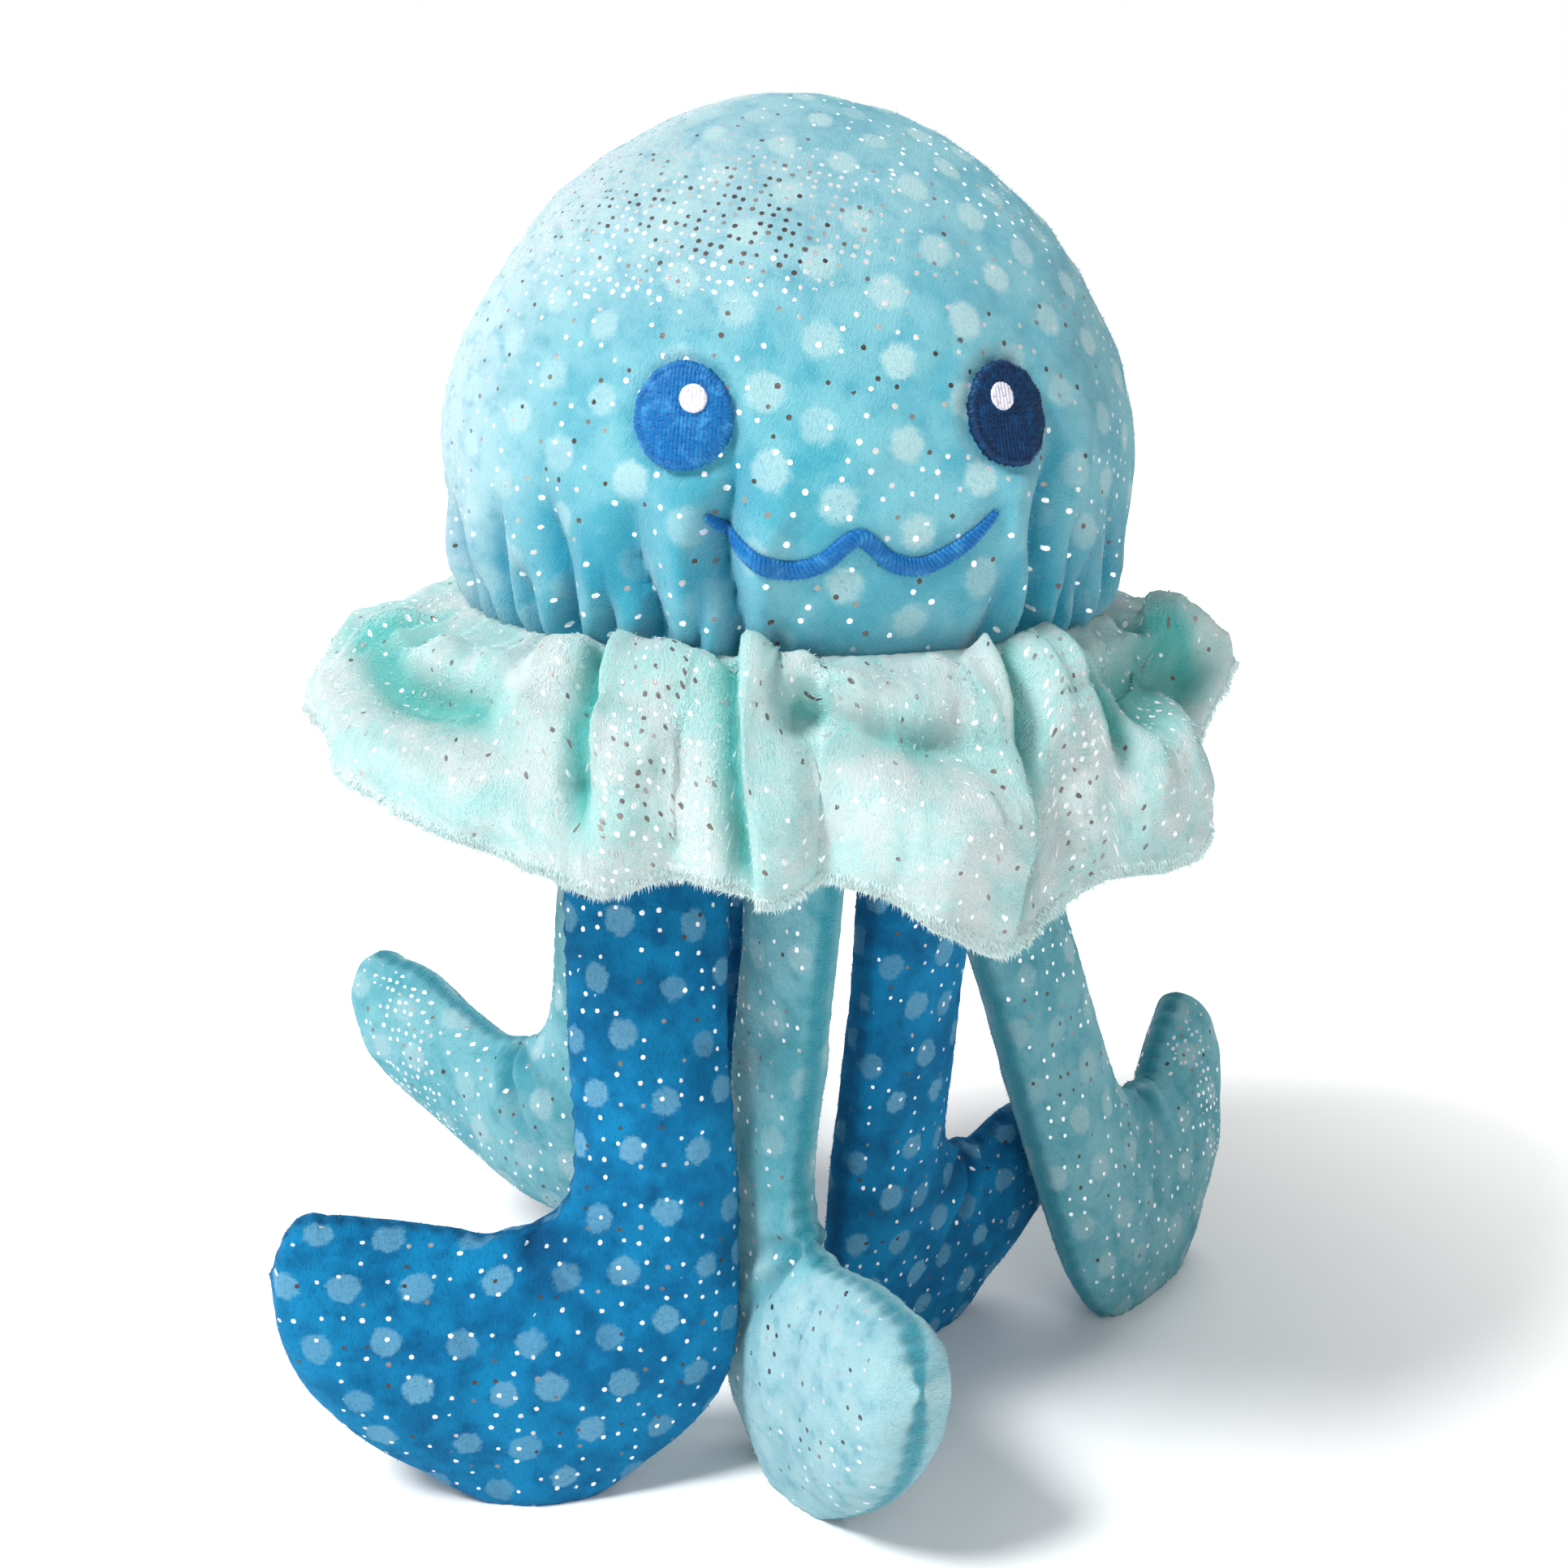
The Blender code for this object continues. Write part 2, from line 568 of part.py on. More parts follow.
def ruffle_point(azimuth, t, inset):
    """The same point moved in by inset, square to the cloth."""
    here = ruffle_surface(azimuth, t)
    across = ruffle_surface(azimuth + 1.5, t) - ruffle_surface(azimuth - 1.5, t)
    t0, t1 = max(0.0, t - 0.03), min(1.0, t + 0.03)
    down = ruffle_surface(azimuth, t1) - ruffle_surface(azimuth, t0)
    out = across.cross(down).normalized()
    if out.z < 0:
        out = -out
    return here - out * inset


def build_ruffle(mats, collection):
    nt = 6
    azimuths = []
    for i, row in enumerate(HEM):
        after = HEM[i + 1][0] if i + 1 < len(HEM) else HEM[0][0] + 360.0
        azimuths += [row[0], (row[0] + after) / 2]
    na = len(azimuths)
    for name, depth in (("ruffle_outer", 0.0), ("ruffle_lining", RUFFLE_CLOTH + 0.8)):
        skins = []
        for extra in (0.0, RUFFLE_CLOTH):
            skins.append([ruffle_point(a, i / (nt - 1), depth + extra) for i in range(nt) for a in azimuths])
        off = len(skins[0])
        faces = grid_faces(nt, na, 0, False, True) + grid_faces(nt, na, off, True, True)
        for j in range(na):
            k = (j + 1) % na
            faces.append((k, j, off + j, off + k))
            q = (nt - 1) * na
            faces.append((q + j, q + k, off + q + k, off + q + j))
        add_object(name, skins[0] + skins[1], faces, mats["mint"], collection)


# ---- build -----------------------------------------------------------------------------------------------------------
def main():
    for obj in list(bpy.data.objects):
        bpy.data.objects.remove(obj, do_unlink=True)
    collection = bpy.data.collections.new("plush_jellyfish")
    bpy.context.scene.collection.children.link(collection)
    mats = {
        "aqua_head": make_material("aqua_plush", (0.16, 0.58, 0.68), 0.85),
        "aqua": make_material("aqua_arm_plush", (0.17, 0.57, 0.67), 0.85),
        "blue": make_material("blue_arm_plush", (0.005, 0.17, 0.46), 0.85),
        "mint": make_material("mint_plush", (0.45, 0.87, 0.78), 0.9),
        "thread_blue": make_material("blue_thread", (0.02, 0.12, 0.42), 0.45),
        "thread_white": make_material("white_thread", (0.85, 0.85, 0.92), 0.45),
        "fill": make_material("fibre_fill", (0.9, 0.9, 0.88), 0.95),
        "rubber": make_material("squeaker_vinyl", (0.85, 0.86, 0.82), 0.5),
        "reed": make_material("reed_plastic", (0.9, 0.9, 0.9), 0.4),
    }
    build_head(mats, collection)
    build_face(mats, collection)
    build_ruffle(mats, collection)
    for arm in ARMS:
        build_arm(arm, mats, collection)

    # the origin goes on the floor, in the middle of the toy's box
    corners = [v.co for obj in collection.objects for v in obj.data.vertices]
    middle = [(min(c[k] for c in corners) + max(c[k] for c in corners)) / 2 for k in (0, 1)]
    for obj in collection.objects:
        obj.location -= Vector((middle[0], middle[1], FLOOR_Z * MM))


main()
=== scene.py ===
"""Plush jellyfish dog toy: detailed plush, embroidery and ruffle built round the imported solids. Metres, +Z up, face along -Y."""

import math

import bpy
import numpy as np
from mathutils import Matrix, Vector


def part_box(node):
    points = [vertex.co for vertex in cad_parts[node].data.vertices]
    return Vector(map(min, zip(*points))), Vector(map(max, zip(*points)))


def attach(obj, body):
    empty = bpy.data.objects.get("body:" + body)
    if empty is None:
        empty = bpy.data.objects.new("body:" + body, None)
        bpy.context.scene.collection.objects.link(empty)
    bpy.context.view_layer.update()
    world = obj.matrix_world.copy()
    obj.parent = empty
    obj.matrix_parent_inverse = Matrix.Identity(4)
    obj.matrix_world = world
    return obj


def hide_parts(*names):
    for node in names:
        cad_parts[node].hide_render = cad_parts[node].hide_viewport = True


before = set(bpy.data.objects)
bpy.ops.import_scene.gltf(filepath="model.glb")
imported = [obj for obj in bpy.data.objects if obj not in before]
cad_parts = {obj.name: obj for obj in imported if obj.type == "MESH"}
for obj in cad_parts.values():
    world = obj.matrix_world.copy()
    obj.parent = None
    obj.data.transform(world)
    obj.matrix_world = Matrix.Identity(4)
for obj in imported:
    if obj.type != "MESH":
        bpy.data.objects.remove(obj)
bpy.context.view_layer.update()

# ---- the frame of the shapes: millimetres round the head's own axis ---------------------------------------------------
BASE_LO, BASE_HI = (np.array(c, float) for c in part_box("base_panel"))
NECK_R, NECK_Z, HEAD_R, HEAD_MID_Z, HEAD_TOP_Z = 64.6, 191.0, 70.4, 219.0, 291.0
FLOOR_Z = 4.8
LEG_TOP_Z = NECK_Z - 4.2
OFFSET = np.array([(BASE_LO[0] + BASE_HI[0]) / 2, (BASE_LO[1] + BASE_HI[1]) / 2, BASE_HI[2] - (NECK_Z + 0.6) * 0.001])


def to_row(points_mm):
    return np.asarray(points_mm, float) * 0.001 + OFFSET


def ease(x, a, b):
    """Smooth step from 0 at a to 1 at b."""
    f = np.clip((np.asarray(x, float) - a) / (b - a), 0, 1)
    return f * f * (3 - 2 * f)


def bell(x, w):
    return np.exp(-((np.asarray(x, float) / w) ** 2))


def turn(a):
    """An azimuth difference brought to -180..180."""
    return (np.asarray(a, float) + 180.0) % 360.0 - 180.0


def waves(x, y, z, size, seed, count=9):
    """Smooth wobble of about -1 to 1 with features about this many mm across."""
    rng = np.random.RandomState(seed)
    total = np.zeros(np.broadcast(x, y, z).shape)
    for _ in range(count):
        d = rng.normal(size=3)
        d /= np.linalg.norm(d)
        k = 2 * math.pi / (size * rng.uniform(0.7, 1.5))
        total = total + np.sin(k * (d[0] * x + d[1] * y + d[2] * z) + rng.uniform(0, 2 * math.pi))
    return total / math.sqrt(count) / 1.2


def polar(azimuth, radius):
    a = np.radians(azimuth)
    return radius * np.sin(a), -radius * np.cos(a)


def catmull(points, u):
    p = np.asarray(points, float)
    n = len(p) - 1
    u = np.clip(np.asarray(u, float), 0, n)
    i = np.minimum(u.astype(int), n - 1)
    f = (u - i)[..., None]
    q = np.vstack([2 * p[0] - p[1], p, 2 * p[-1] - p[-2]])
    a, b, c, d = q[i], q[i + 1], q[i + 2], q[i + 3]
    return 0.5 * (2 * b + (c - a) * f + (2 * a - 5 * b + 4 * c - d) * f**2 + (3 * b - a - 3 * c + d) * f**3)


def ring_value(table, azimuth, column):
    """Smooth value round a ring from a table of rows that start with an azimuth."""
    t = np.asarray(table, float)
    x = np.concatenate([t[-3:, 0] - 360, t[:, 0], t[:3, 0] + 360])
    y = np.concatenate([t[-3:, column], t[:, column], t[:3, column]])
    m = np.gradient(y, x) * 0.8
    a = turn(azimuth)
    i = np.clip(np.searchsorted(x, a, side="right") - 1, 1, len(x) - 3)
    h = x[i + 1] - x[i]
    f = (a - x[i]) / h
    return (
        (2 * f**3 - 3 * f**2 + 1) * y[i]
        + (f**3 - 2 * f**2 + f) * h * m[i]
        + (-2 * f**3 + 3 * f**2) * y[i + 1]
        + (f**3 - f**2) * h * m[i + 1]
    )


# ---- mesh making -----------------------------------------------------------------------------------------------------
def make_piece(name, points_mm, faces, mat, pattern=None, values=None, smooth=True):
    """A mesh object from mm points. faces is a list of index arrays (n,3) or (n,4). pattern is a matching list of (n,k,2) cloth
    coordinates in mm. values holds named numbers per point."""
    mesh = bpy.data.meshes.new(name)
    verts = to_row(points_mm)
    all_faces = [f for part in faces for f in part.tolist()]
    mesh.from_pydata(verts.tolist(), [], all_faces)
    if pattern is not None:
        uv = mesh.uv_layers.new(name="pattern")
        uv.data.foreach_set("uv", np.concatenate([p.reshape(-1, 2) for p in pattern]).astype(np.float32).ravel())
    for key, data in (values or {}).items():
        attribute = mesh.attributes.new(key, "FLOAT", "POINT")
        attribute.data.foreach_set("value", np.asarray(data, np.float32).ravel())
    mesh.materials.append(mat)
    mesh.validate()
    if smooth:
        mesh.shade_smooth()
    obj = bpy.data.objects.new(name, mesh)
    bpy.context.scene.collection.objects.link(obj)
    return obj


def grid(rows, cols, wrap=True, base=0, flip=False):
    """(faces, corner indices into a rows x (cols+1) table of pattern points)."""
    i, j = np.meshgrid(np.arange(rows - 1), np.arange(cols if wrap else cols - 1), indexing="ij")
    k = (j + 1) % cols if wrap else j + 1
    width = cols + 1 if wrap else cols
    f = np.stack([i * cols + j, i * cols + k, (i + 1) * cols + k, (i + 1) * cols + j], -1).reshape(-1, 4) + base
    p = np.stack([i * width + j, i * width + j + 1, (i + 1) * width + j + 1, (i + 1) * width + j], -1).reshape(-1, 4)
    if flip:
        f, p = f[:, ::-1], p[:, ::-1]
    return f, p


def fan(ring, centre, flip=False):
    ring = np.asarray(ring)
    f = np.stack([ring, np.roll(ring, -1), np.full(len(ring), centre)], -1)
    return f[:, ::-1] if flip else f


# ---- materials -------------------------------------------------------------------------------------------------------
def linear(r, g, b):
    out = []
    for c in (r, g, b):
        c = c / 255.0
        out.append(c / 12.92 if c <= 0.04045 else ((c + 0.055) / 1.055) ** 2.4)
    return (*out, 1.0)


class Net:
    """A small helper that lays shader nodes."""

    def __init__(self, name):
        self.mat = bpy.data.materials.new(name)
        self.mat.use_nodes = True
        self.tree = self.mat.node_tree
        self.tree.nodes.clear()
        out = self.tree.nodes.new("ShaderNodeOutputMaterial")
        self.shader = self.tree.nodes.new("ShaderNodeBsdfPrincipled")
        self.tree.links.new(self.shader.outputs[0], out.inputs[0])

    def put(self, socket, value):
        if isinstance(value, bpy.types.NodeSocket):
            self.tree.links.new(value, socket)
        elif value is not None:
            socket.default_value = value

    def set(self, name, value):
        self.put(self.shader.inputs[name], value)

    def math(self, op, a, b=None, c=None, clamp=False):
        node = self.tree.nodes.new("ShaderNodeMath")
        node.operation, node.use_clamp = op, clamp
        for socket, value in zip(node.inputs, (a, b, c)):
            self.put(socket, value)
        return node.outputs[0]

    def vector(self, op, a, b=None, scale=None):
        node = self.tree.nodes.new("ShaderNodeVectorMath")
        node.operation = op
        self.put(node.inputs[0], a)
        if b is not None:
            self.put(node.inputs[1], b)
        if scale is not None:
            self.put(node.inputs["Scale"], scale)
        return node.outputs["Value"] if op in ("LENGTH", "DOT_PRODUCT", "DISTANCE") else node.outputs[0]

    def split(self, v):
        node = self.tree.nodes.new("ShaderNodeSeparateXYZ")
        self.put(node.inputs[0], v)
        return node.outputs

    def join(self, x, y, z=0.0):
        node = self.tree.nodes.new("ShaderNodeCombineXYZ")
        for socket, value in zip(node.inputs, (x, y, z)):
            self.put(socket, value)
        return node.outputs[0]

    def mix(self, factor, a, b, blend="MIX"):
        node = self.tree.nodes.new("ShaderNodeMix")
        node.data_type, node.blend_type = "RGBA", blend
        self.put(node.inputs[0], factor)
        self.put(node.inputs[6], a)
        self.put(node.inputs[7], b)
        return node.outputs[2]

    def step(self, value, a, b, low=0.0, high=1.0):
        node = self.tree.nodes.new("ShaderNodeMapRange")
        node.interpolation_type = "SMOOTHSTEP"
        for socket, v in zip(node.inputs, (value, a, b, low, high)):
            self.put(socket, v)
        return node.outputs[0]

    def noise(self, vector, scale, detail=2.0, rough=0.5, distortion=0.0, out="Fac"):
        node = self.tree.nodes.new("ShaderNodeTexNoise")
        node.noise_dimensions = "3D"
        self.put(node.inputs["Vector"], vector)
        self.put(node.inputs["Scale"], scale)
        self.put(node.inputs["Detail"], detail)
        self.put(node.inputs["Roughness"], rough)
        self.put(node.inputs["Distortion"], distortion)
        return node.outputs[out] if out in node.outputs else node.outputs[0 if out == "Fac" else 1]

    def cells(self, vector, scale, loose):
        node = self.tree.nodes.new("ShaderNodeTexVoronoi")
        node.voronoi_dimensions, node.feature = "2D", "F1"
        self.put(node.inputs["Vector"], vector)
        self.put(node.inputs["Scale"], scale)
        self.put(node.inputs["Randomness"], loose)
        return node.outputs["Distance"], node.outputs["Color"], node.outputs["Position"]

    def value(self, name):
        node = self.tree.nodes.new("ShaderNodeAttribute")
        node.attribute_type, node.attribute_name = "GEOMETRY", name
        return node.outputs["Fac"]

    def pattern(self):
        node = self.tree.nodes.new("ShaderNodeUVMap")
        node.uv_map = "pattern"
        return node.outputs[0]

    def bump(self, height, strength, distance, normal=None):
        node = self.tree.nodes.new("ShaderNodeBump")
        self.put(node.inputs["Strength"], strength)
        self.put(node.inputs["Distance"], distance)
        self.put(node.inputs["Height"], height)
        if normal is not None:
            self.put(node.inputs["Normal"], normal)
        return node.outputs[0]


def plush(name, base, light, deep_tone_and_shade, dot=None, dots_across=6.2, dots_apart=15.5, dot_share=0.75, foil_share=0.6, foil_cell=4.2,
          pile=1.0, sheen=(0.6, 0.9, 1.0, 1.0), sheen_weight=0.35, foil_radius=0.56, soft=0.7, painted_highlight_to=None, bright=0.6, mottle=0.35, grain_mix=0.32, foil_dark_reflection=(84, 74, 70)):
    """Short velvet plush: streaky pile, printed dots and foil specks. pattern is in mm of cloth. One point value paints
    shade into creases, seams and recesses, dense thickens the foil specks and darkens their painted reflection, and a
    third point value paints a highlight where the light falls."""
    n = Net(name)
    p = n.pattern()
    u, v, _ = n.split(p)
    wide = n.noise(p, 0.05, 3.0, 0.55)
    mid = n.noise(p, 0.2, 4.0, 0.62)
    streak = n.noise(n.join(n.math("MULTIPLY", u, 1.9), n.math("MULTIPLY", v, 0.6), 0.0), 1.0, 3.0, 0.65)
    fine = n.noise(p, 2.6, 2.0, 0.6)
    grain = n.noise(n.join(n.math("MULTIPLY", u, 5.5), n.math("MULTIPLY", v, 2.6), 0.0), 1.0, 2.0, 0.7)
    colour = n.mix(n.step(wide, 0.38, 0.64), base, light)
    colour = n.mix(n.math("MULTIPLY", n.step(mid, 0.48, 0.68), 0.5), colour, light)
    colour = n.mix(n.math("MULTIPLY", n.step(mid, 0.46, 0.30), mottle), colour, deep_tone_and_shade)
    colour = n.mix(n.math("MULTIPLY", n.step(streak, 0.52, 0.28), mottle), colour, deep_tone_and_shade)
    # painted highlight: mixed toward the pale colour by the point value
    if painted_highlight_to is not None:
        colour = n.mix(n.math("MULTIPLY", n.value("painted_highlight"), n.step(mid, 0.30, 0.56, 0.45, 1.0), clamp=True), colour, painted_highlight_to)
    if dot is not None:
        # a triangular lattice: cells are found in sheared cloth coordinates, and the offset is turned back
        wob = n.vector("SCALE", n.vector("SUBTRACT", n.noise(p, 0.5, 3.0, 0.6, out="Color"), (0.5, 0.5, 0.5)), scale=2.6)
        pu, pv, _ = n.split(n.vector("ADD", p, wob))
        su = n.math("SUBTRACT", pu, n.math("MULTIPLY", pv, 0.57735))
        sv = n.math("MULTIPLY", pv, 1.1547)
        sheared = n.join(su, sv, 0.0)
        _, cell, place = n.cells(sheared, 1.0 / dots_apart, 0.3)
        du, dv, _ = n.split(n.vector("SUBTRACT", sheared, place))
        away = n.vector("LENGTH", n.join(n.math("ADD", du, n.math("MULTIPLY", dv, 0.5)), n.math("MULTIPLY", dv, 0.866), 0.0))
        cr, cg, _ = n.split(cell)
        size = n.math("MULTIPLY_ADD", cr, 0.7, dots_across / 2 - 0.35)
        print_ = n.step(n.math("ADD", n.math("SUBTRACT", away, size), n.math("MULTIPLY", n.math("SUBTRACT", fine, 0.5), 1.4)), soft, -soft)
        print_ = n.math("MULTIPLY", print_, n.step(n.noise(p, 1.1, 3.0, 0.7), 0.28, 0.55, 0.5, 1.0))
        print_ = n.math("MULTIPLY", print_, n.math("MULTIPLY_ADD", cg, 0.4, dot_share - 0.2))
        colour = n.mix(print_, colour, dot)
    painted_shade = n.value("painted_shade")
    # painted shade: creases, seams and recesses are mixed toward the deep colour by the point value
    colour = n.mix(n.math("MULTIPLY", painted_shade, 0.88, clamp=True), colour, deep_tone_and_shade)
    colour = n.mix(n.math("MULTIPLY", n.step(grain, 0.52, 0.74), grain_mix), colour, light)
    colour = n.mix(n.math("MULTIPLY", n.step(grain, 0.48, 0.26), grain_mix), colour, deep_tone_and_shade)
    # foil specks, thin all over and thicker where dense is above 0
    thick = n.step(n.math("ADD", n.value("dense"), n.math("MULTIPLY", n.math("SUBTRACT", mid, 0.5), 0.5)), 0.22, 0.40)
    ragged = n.math("MULTIPLY", n.math("SUBTRACT", fine, 0.5), 0.45)
    found = []
    for cell_size, loose, level in ((foil_cell, 0.62, n.math("MULTIPLY", n.math("SUBTRACT", 1.0, thick), n.math("MULTIPLY_ADD", n.step(wide, 0.3, 0.7), 0.3, foil_share - 0.15))),
                                    (2.55, 0.5, n.math("MULTIPLY", thick, 0.86))):
        distance, cell, _ = n.cells(p, 1.0 / cell_size, loose)
        fr, fg, fb = n.split(cell)
        radius = n.math("MULTIPLY_ADD", fb, 0.3 * foil_radius, 0.78 * foil_radius)
        inside = n.math("LESS_THAN", n.math("ADD", n.math("MULTIPLY", distance, cell_size), ragged), radius)
        keep = n.math("MULTIPLY", n.math("LESS_THAN", fr, level), n.math("GREATER_THAN", n.value("dense"), -1.0))
        found.append((n.math("MULTIPLY", inside, keep), fg))
    foil = n.math("MAXIMUM", found[0][0], found[1][0])
    packed = n.math("SUBTRACT", n.math("MULTIPLY_ADD", found[1][1], 0.6, 0.56), n.math("MULTIPLY", n.value("dense"), 1.0))
    tone = n.math("ADD", n.math("MULTIPLY", found[0][0], found[0][1]), n.math("MULTIPLY", found[1][0], packed))
    # each speck is painted dark or white at random, a painted reflection, and where dense is high the packed specks are
    # painted darker
    speck_reflection = n.mix(n.step(tone, 0.7 - bright, 1.05 - bright), linear(*foil_dark_reflection), linear(252, 253, 253))
    colour = n.mix(foil, colour, speck_reflection)
    n.set("Base Color", colour)
    n.set("Metallic", n.math("MULTIPLY", foil, 0.7))
    n.set("Roughness", n.math("MULTIPLY_ADD", foil, -0.58, 0.88))
    height = n.math("ADD", n.math("MULTIPLY", fine, 0.7 * pile), n.math("MULTIPLY", streak, 0.9 * pile))
    height = n.math("ADD", height, n.math("MULTIPLY", grain, 0.75 * pile))
    height = n.math("MULTIPLY", height, n.math("MULTIPLY_ADD", foil, -0.85, 1.0))
    height = n.math("ADD", height, n.math("MULTIPLY", foil, 0.5))
    n.set("Normal", n.bump(height, 0.75, 0.0011))
    n.shader.inputs["Sheen Weight"].default_value = sheen_weight
    n.shader.inputs["Sheen Roughness"].default_value = 0.4
    n.shader.inputs["Sheen Tint"].default_value = sheen
    n.shader.inputs["Specular IOR Level"].default_value = 0.2
    return n.mat


def thread(name, base, light, deep_tone_and_shade):
    """Glossy embroidery thread; the stitches themselves are in the mesh."""
    n = Net(name)
    p = n.pattern()
    strands = n.noise(p, 3.5, 3.0, 0.65)
    patches = n.noise(p, 0.35, 2.0, 0.5)
    colour = n.mix(n.step(strands, 0.3, 0.75), deep_tone_and_shade, base)
    colour = n.mix(n.math("MULTIPLY", n.step(patches, 0.45, 0.75), 0.5), colour, light)
    # painted shade: mixed toward the deep colour by the point value
    colour = n.mix(n.math("MULTIPLY", n.value("painted_shade"), 0.55, clamp=True), colour, deep_tone_and_shade)
    n.set("Base Color", colour)
    n.set("Roughness", n.math("MULTIPLY_ADD", strands, 0.2, 0.36))
    n.set("Normal", n.bump(strands, 0.35, 0.00012))
    n.shader.inputs["Sheen Weight"].default_value = 0.06
    n.shader.inputs["Anisotropic"].default_value = 0.4
    n.shader.inputs["Specular IOR Level"].default_value = 0.22
    return n.mat


def plain_fabric(name, base, light, size=0.5, rough=0.95):
    """Hidden filling and lining cloth."""
    n = Net(name)
    geo = n.tree.nodes.new("ShaderNodeTexCoord").outputs["Object"]
    a = n.noise(geo, 1000 * size, 4.0, 0.6)
    n.set("Base Color", n.mix(n.step(a, 0.35, 0.7), base, light))
    n.set("Roughness", rough)
    n.set("Normal", n.bump(a, 0.5, 0.0006))
    return n.mat


# each plush gets a base, a lighter tone, a deep colour that is both its darker tone and its painted crease shade, and
# the print's dot colour; the pale colours set here are painted highlight
AQUA = plush("aqua_dotted_velvet", linear(82, 184, 205), linear(128, 206, 220), linear(4, 146, 178), linear(196, 234, 237),
             dots_across=7.0, dot_share=0.72, foil_share=0.6, foil_cell=4.4, sheen=(0.85, 0.97, 1.0, 1.0), sheen_weight=0.55, soft=0.9,
             painted_highlight_to=linear(214, 238, 244), mottle=0.22)
AQUA_ARM = plush("aqua_arm_velvet", linear(98, 188, 204), linear(140, 210, 222), linear(22, 144, 164), linear(190, 229, 235),
                 dots_across=6.6, dot_share=0.62, foil_share=0.6, sheen=(0.8, 0.95, 1.0, 1.0), sheen_weight=0.3, soft=0.9,
                 painted_highlight_to=linear(208, 238, 245), mottle=0.34)
BLUE = plush("blue_dotted_velvet", linear(0, 116, 172), linear(14, 148, 206), linear(0, 64, 112), linear(118, 184, 218),
             dots_across=6.0, dots_apart=14.2, dot_share=0.84, foil_share=0.6, foil_cell=4.4, foil_radius=0.52, sheen=(0.1, 0.6, 0.9, 1.0),
             sheen_weight=0.12, soft=0.5, bright=0.62, mottle=0.36)
MINT = plush("mint_plush", linear(202, 250, 248), linear(240, 254, 254), linear(56, 212, 206), None, foil_share=0.55, foil_cell=4.0,
             pile=2.0, sheen=(0.95, 1.0, 1.0, 1.0), sheen_weight=0.4, foil_radius=0.52, bright=0.56, painted_highlight_to=linear(234, 252, 251), mottle=0.14, grain_mix=0.42, foil_dark_reflection=(124, 116, 112))
# thread colours: base, lighter patches, and a deep colour for darker strands and for painted shade between stitches
BLUE_THREAD = thread("blue_thread", linear(14, 124, 190), linear(74, 164, 216), linear(0, 74, 138))
# a shaded copy of the blue thread: painted shade for the right eye, which sits out of the light
SHADED_BLUE_THREAD = thread("shaded_blue_thread", linear(0, 60, 108), linear(0, 86, 142), linear(0, 30, 60))
WHITE_THREAD = thread("white_thread", linear(240, 238, 246), linear(252, 252, 255), linear(196, 196, 214))
FILL = plain_fabric("fibre_filling", linear(244, 243, 238), linear(255, 255, 252), 0.4)
VINYL = plain_fabric("squeaker_vinyl", linear(236, 238, 230), linear(244, 246, 240), 0.05, 0.5)
REED = plain_fabric("reed_plastic", linear(240, 240, 238), linear(250, 250, 250), 0.05, 0.4)


# ---- head ------------------------------------------------------------------------------------------------------------
# gathers just above the neck: azimuth, depth in mm, width in degrees, height to which the crease runs
GATHERS = [
    (-96, 2.4, 3.0, 24), (-86, 2.8, 3.0, 30), (-75, 3.4, 2.6, 28), (-68, 1.8, 2.2, 19), (-61, 4.2, 2.4, 29), (-53, 2.2, 2.2, 20),
    (-45.5, 4.4, 2.8, 36), (-38.5, 2.4, 2.2, 25), (-31, 4.0, 3.0, 33), (-25, 2.2, 2.0, 25), (-18.5, 5.2, 2.6, 46), (-12, 1.4, 2.0, 17),
    (24, 1.6, 2.2, 20), (31, 5.2, 2.4, 47), (38, 3.6, 2.2, 29), (46, 2.6, 2.4, 23), (55, 3.2, 2.8, 28), (66, 2.6, 2.8, 25), (77, 2.6, 3.0, 25),
    (88, 2.4, 3.0, 26), (101, 2.6, 3.2, 25), (115, 3.0, 3.2, 29), (129, 2.6, 3.0, 23), (143, 3.2, 3.2, 30), (158, 2.6, 3.0, 25),
    (173, 3.0, 3.2, 28), (187, 2.6, 3.0, 25), (201, 3.2, 3.2, 30), (216, 2.6, 3.0, 24), (231, 3.0, 3.2, 28), (246, 2.8, 3.0, 26),
]
SEAM_AZ = 97.0
EYE_AZ, EYE_Z, EYE_W, EYE_H = 25.7, 235.4, 9.3, 9.3


def head_radius(z):
    z = np.asarray(z, float)
    up = np.clip((z - HEAD_MID_Z) / (HEAD_TOP_Z - HEAD_MID_Z), 0, 1)
    down = (HEAD_MID_Z - z) / (HEAD_MID_Z - NECK_Z)
    return np.where(z >= HEAD_MID_Z, HEAD_R * np.sqrt(np.maximum(0, 1 - up**1.86)), HEAD_R - (HEAD_R - NECK_R) * down**2)


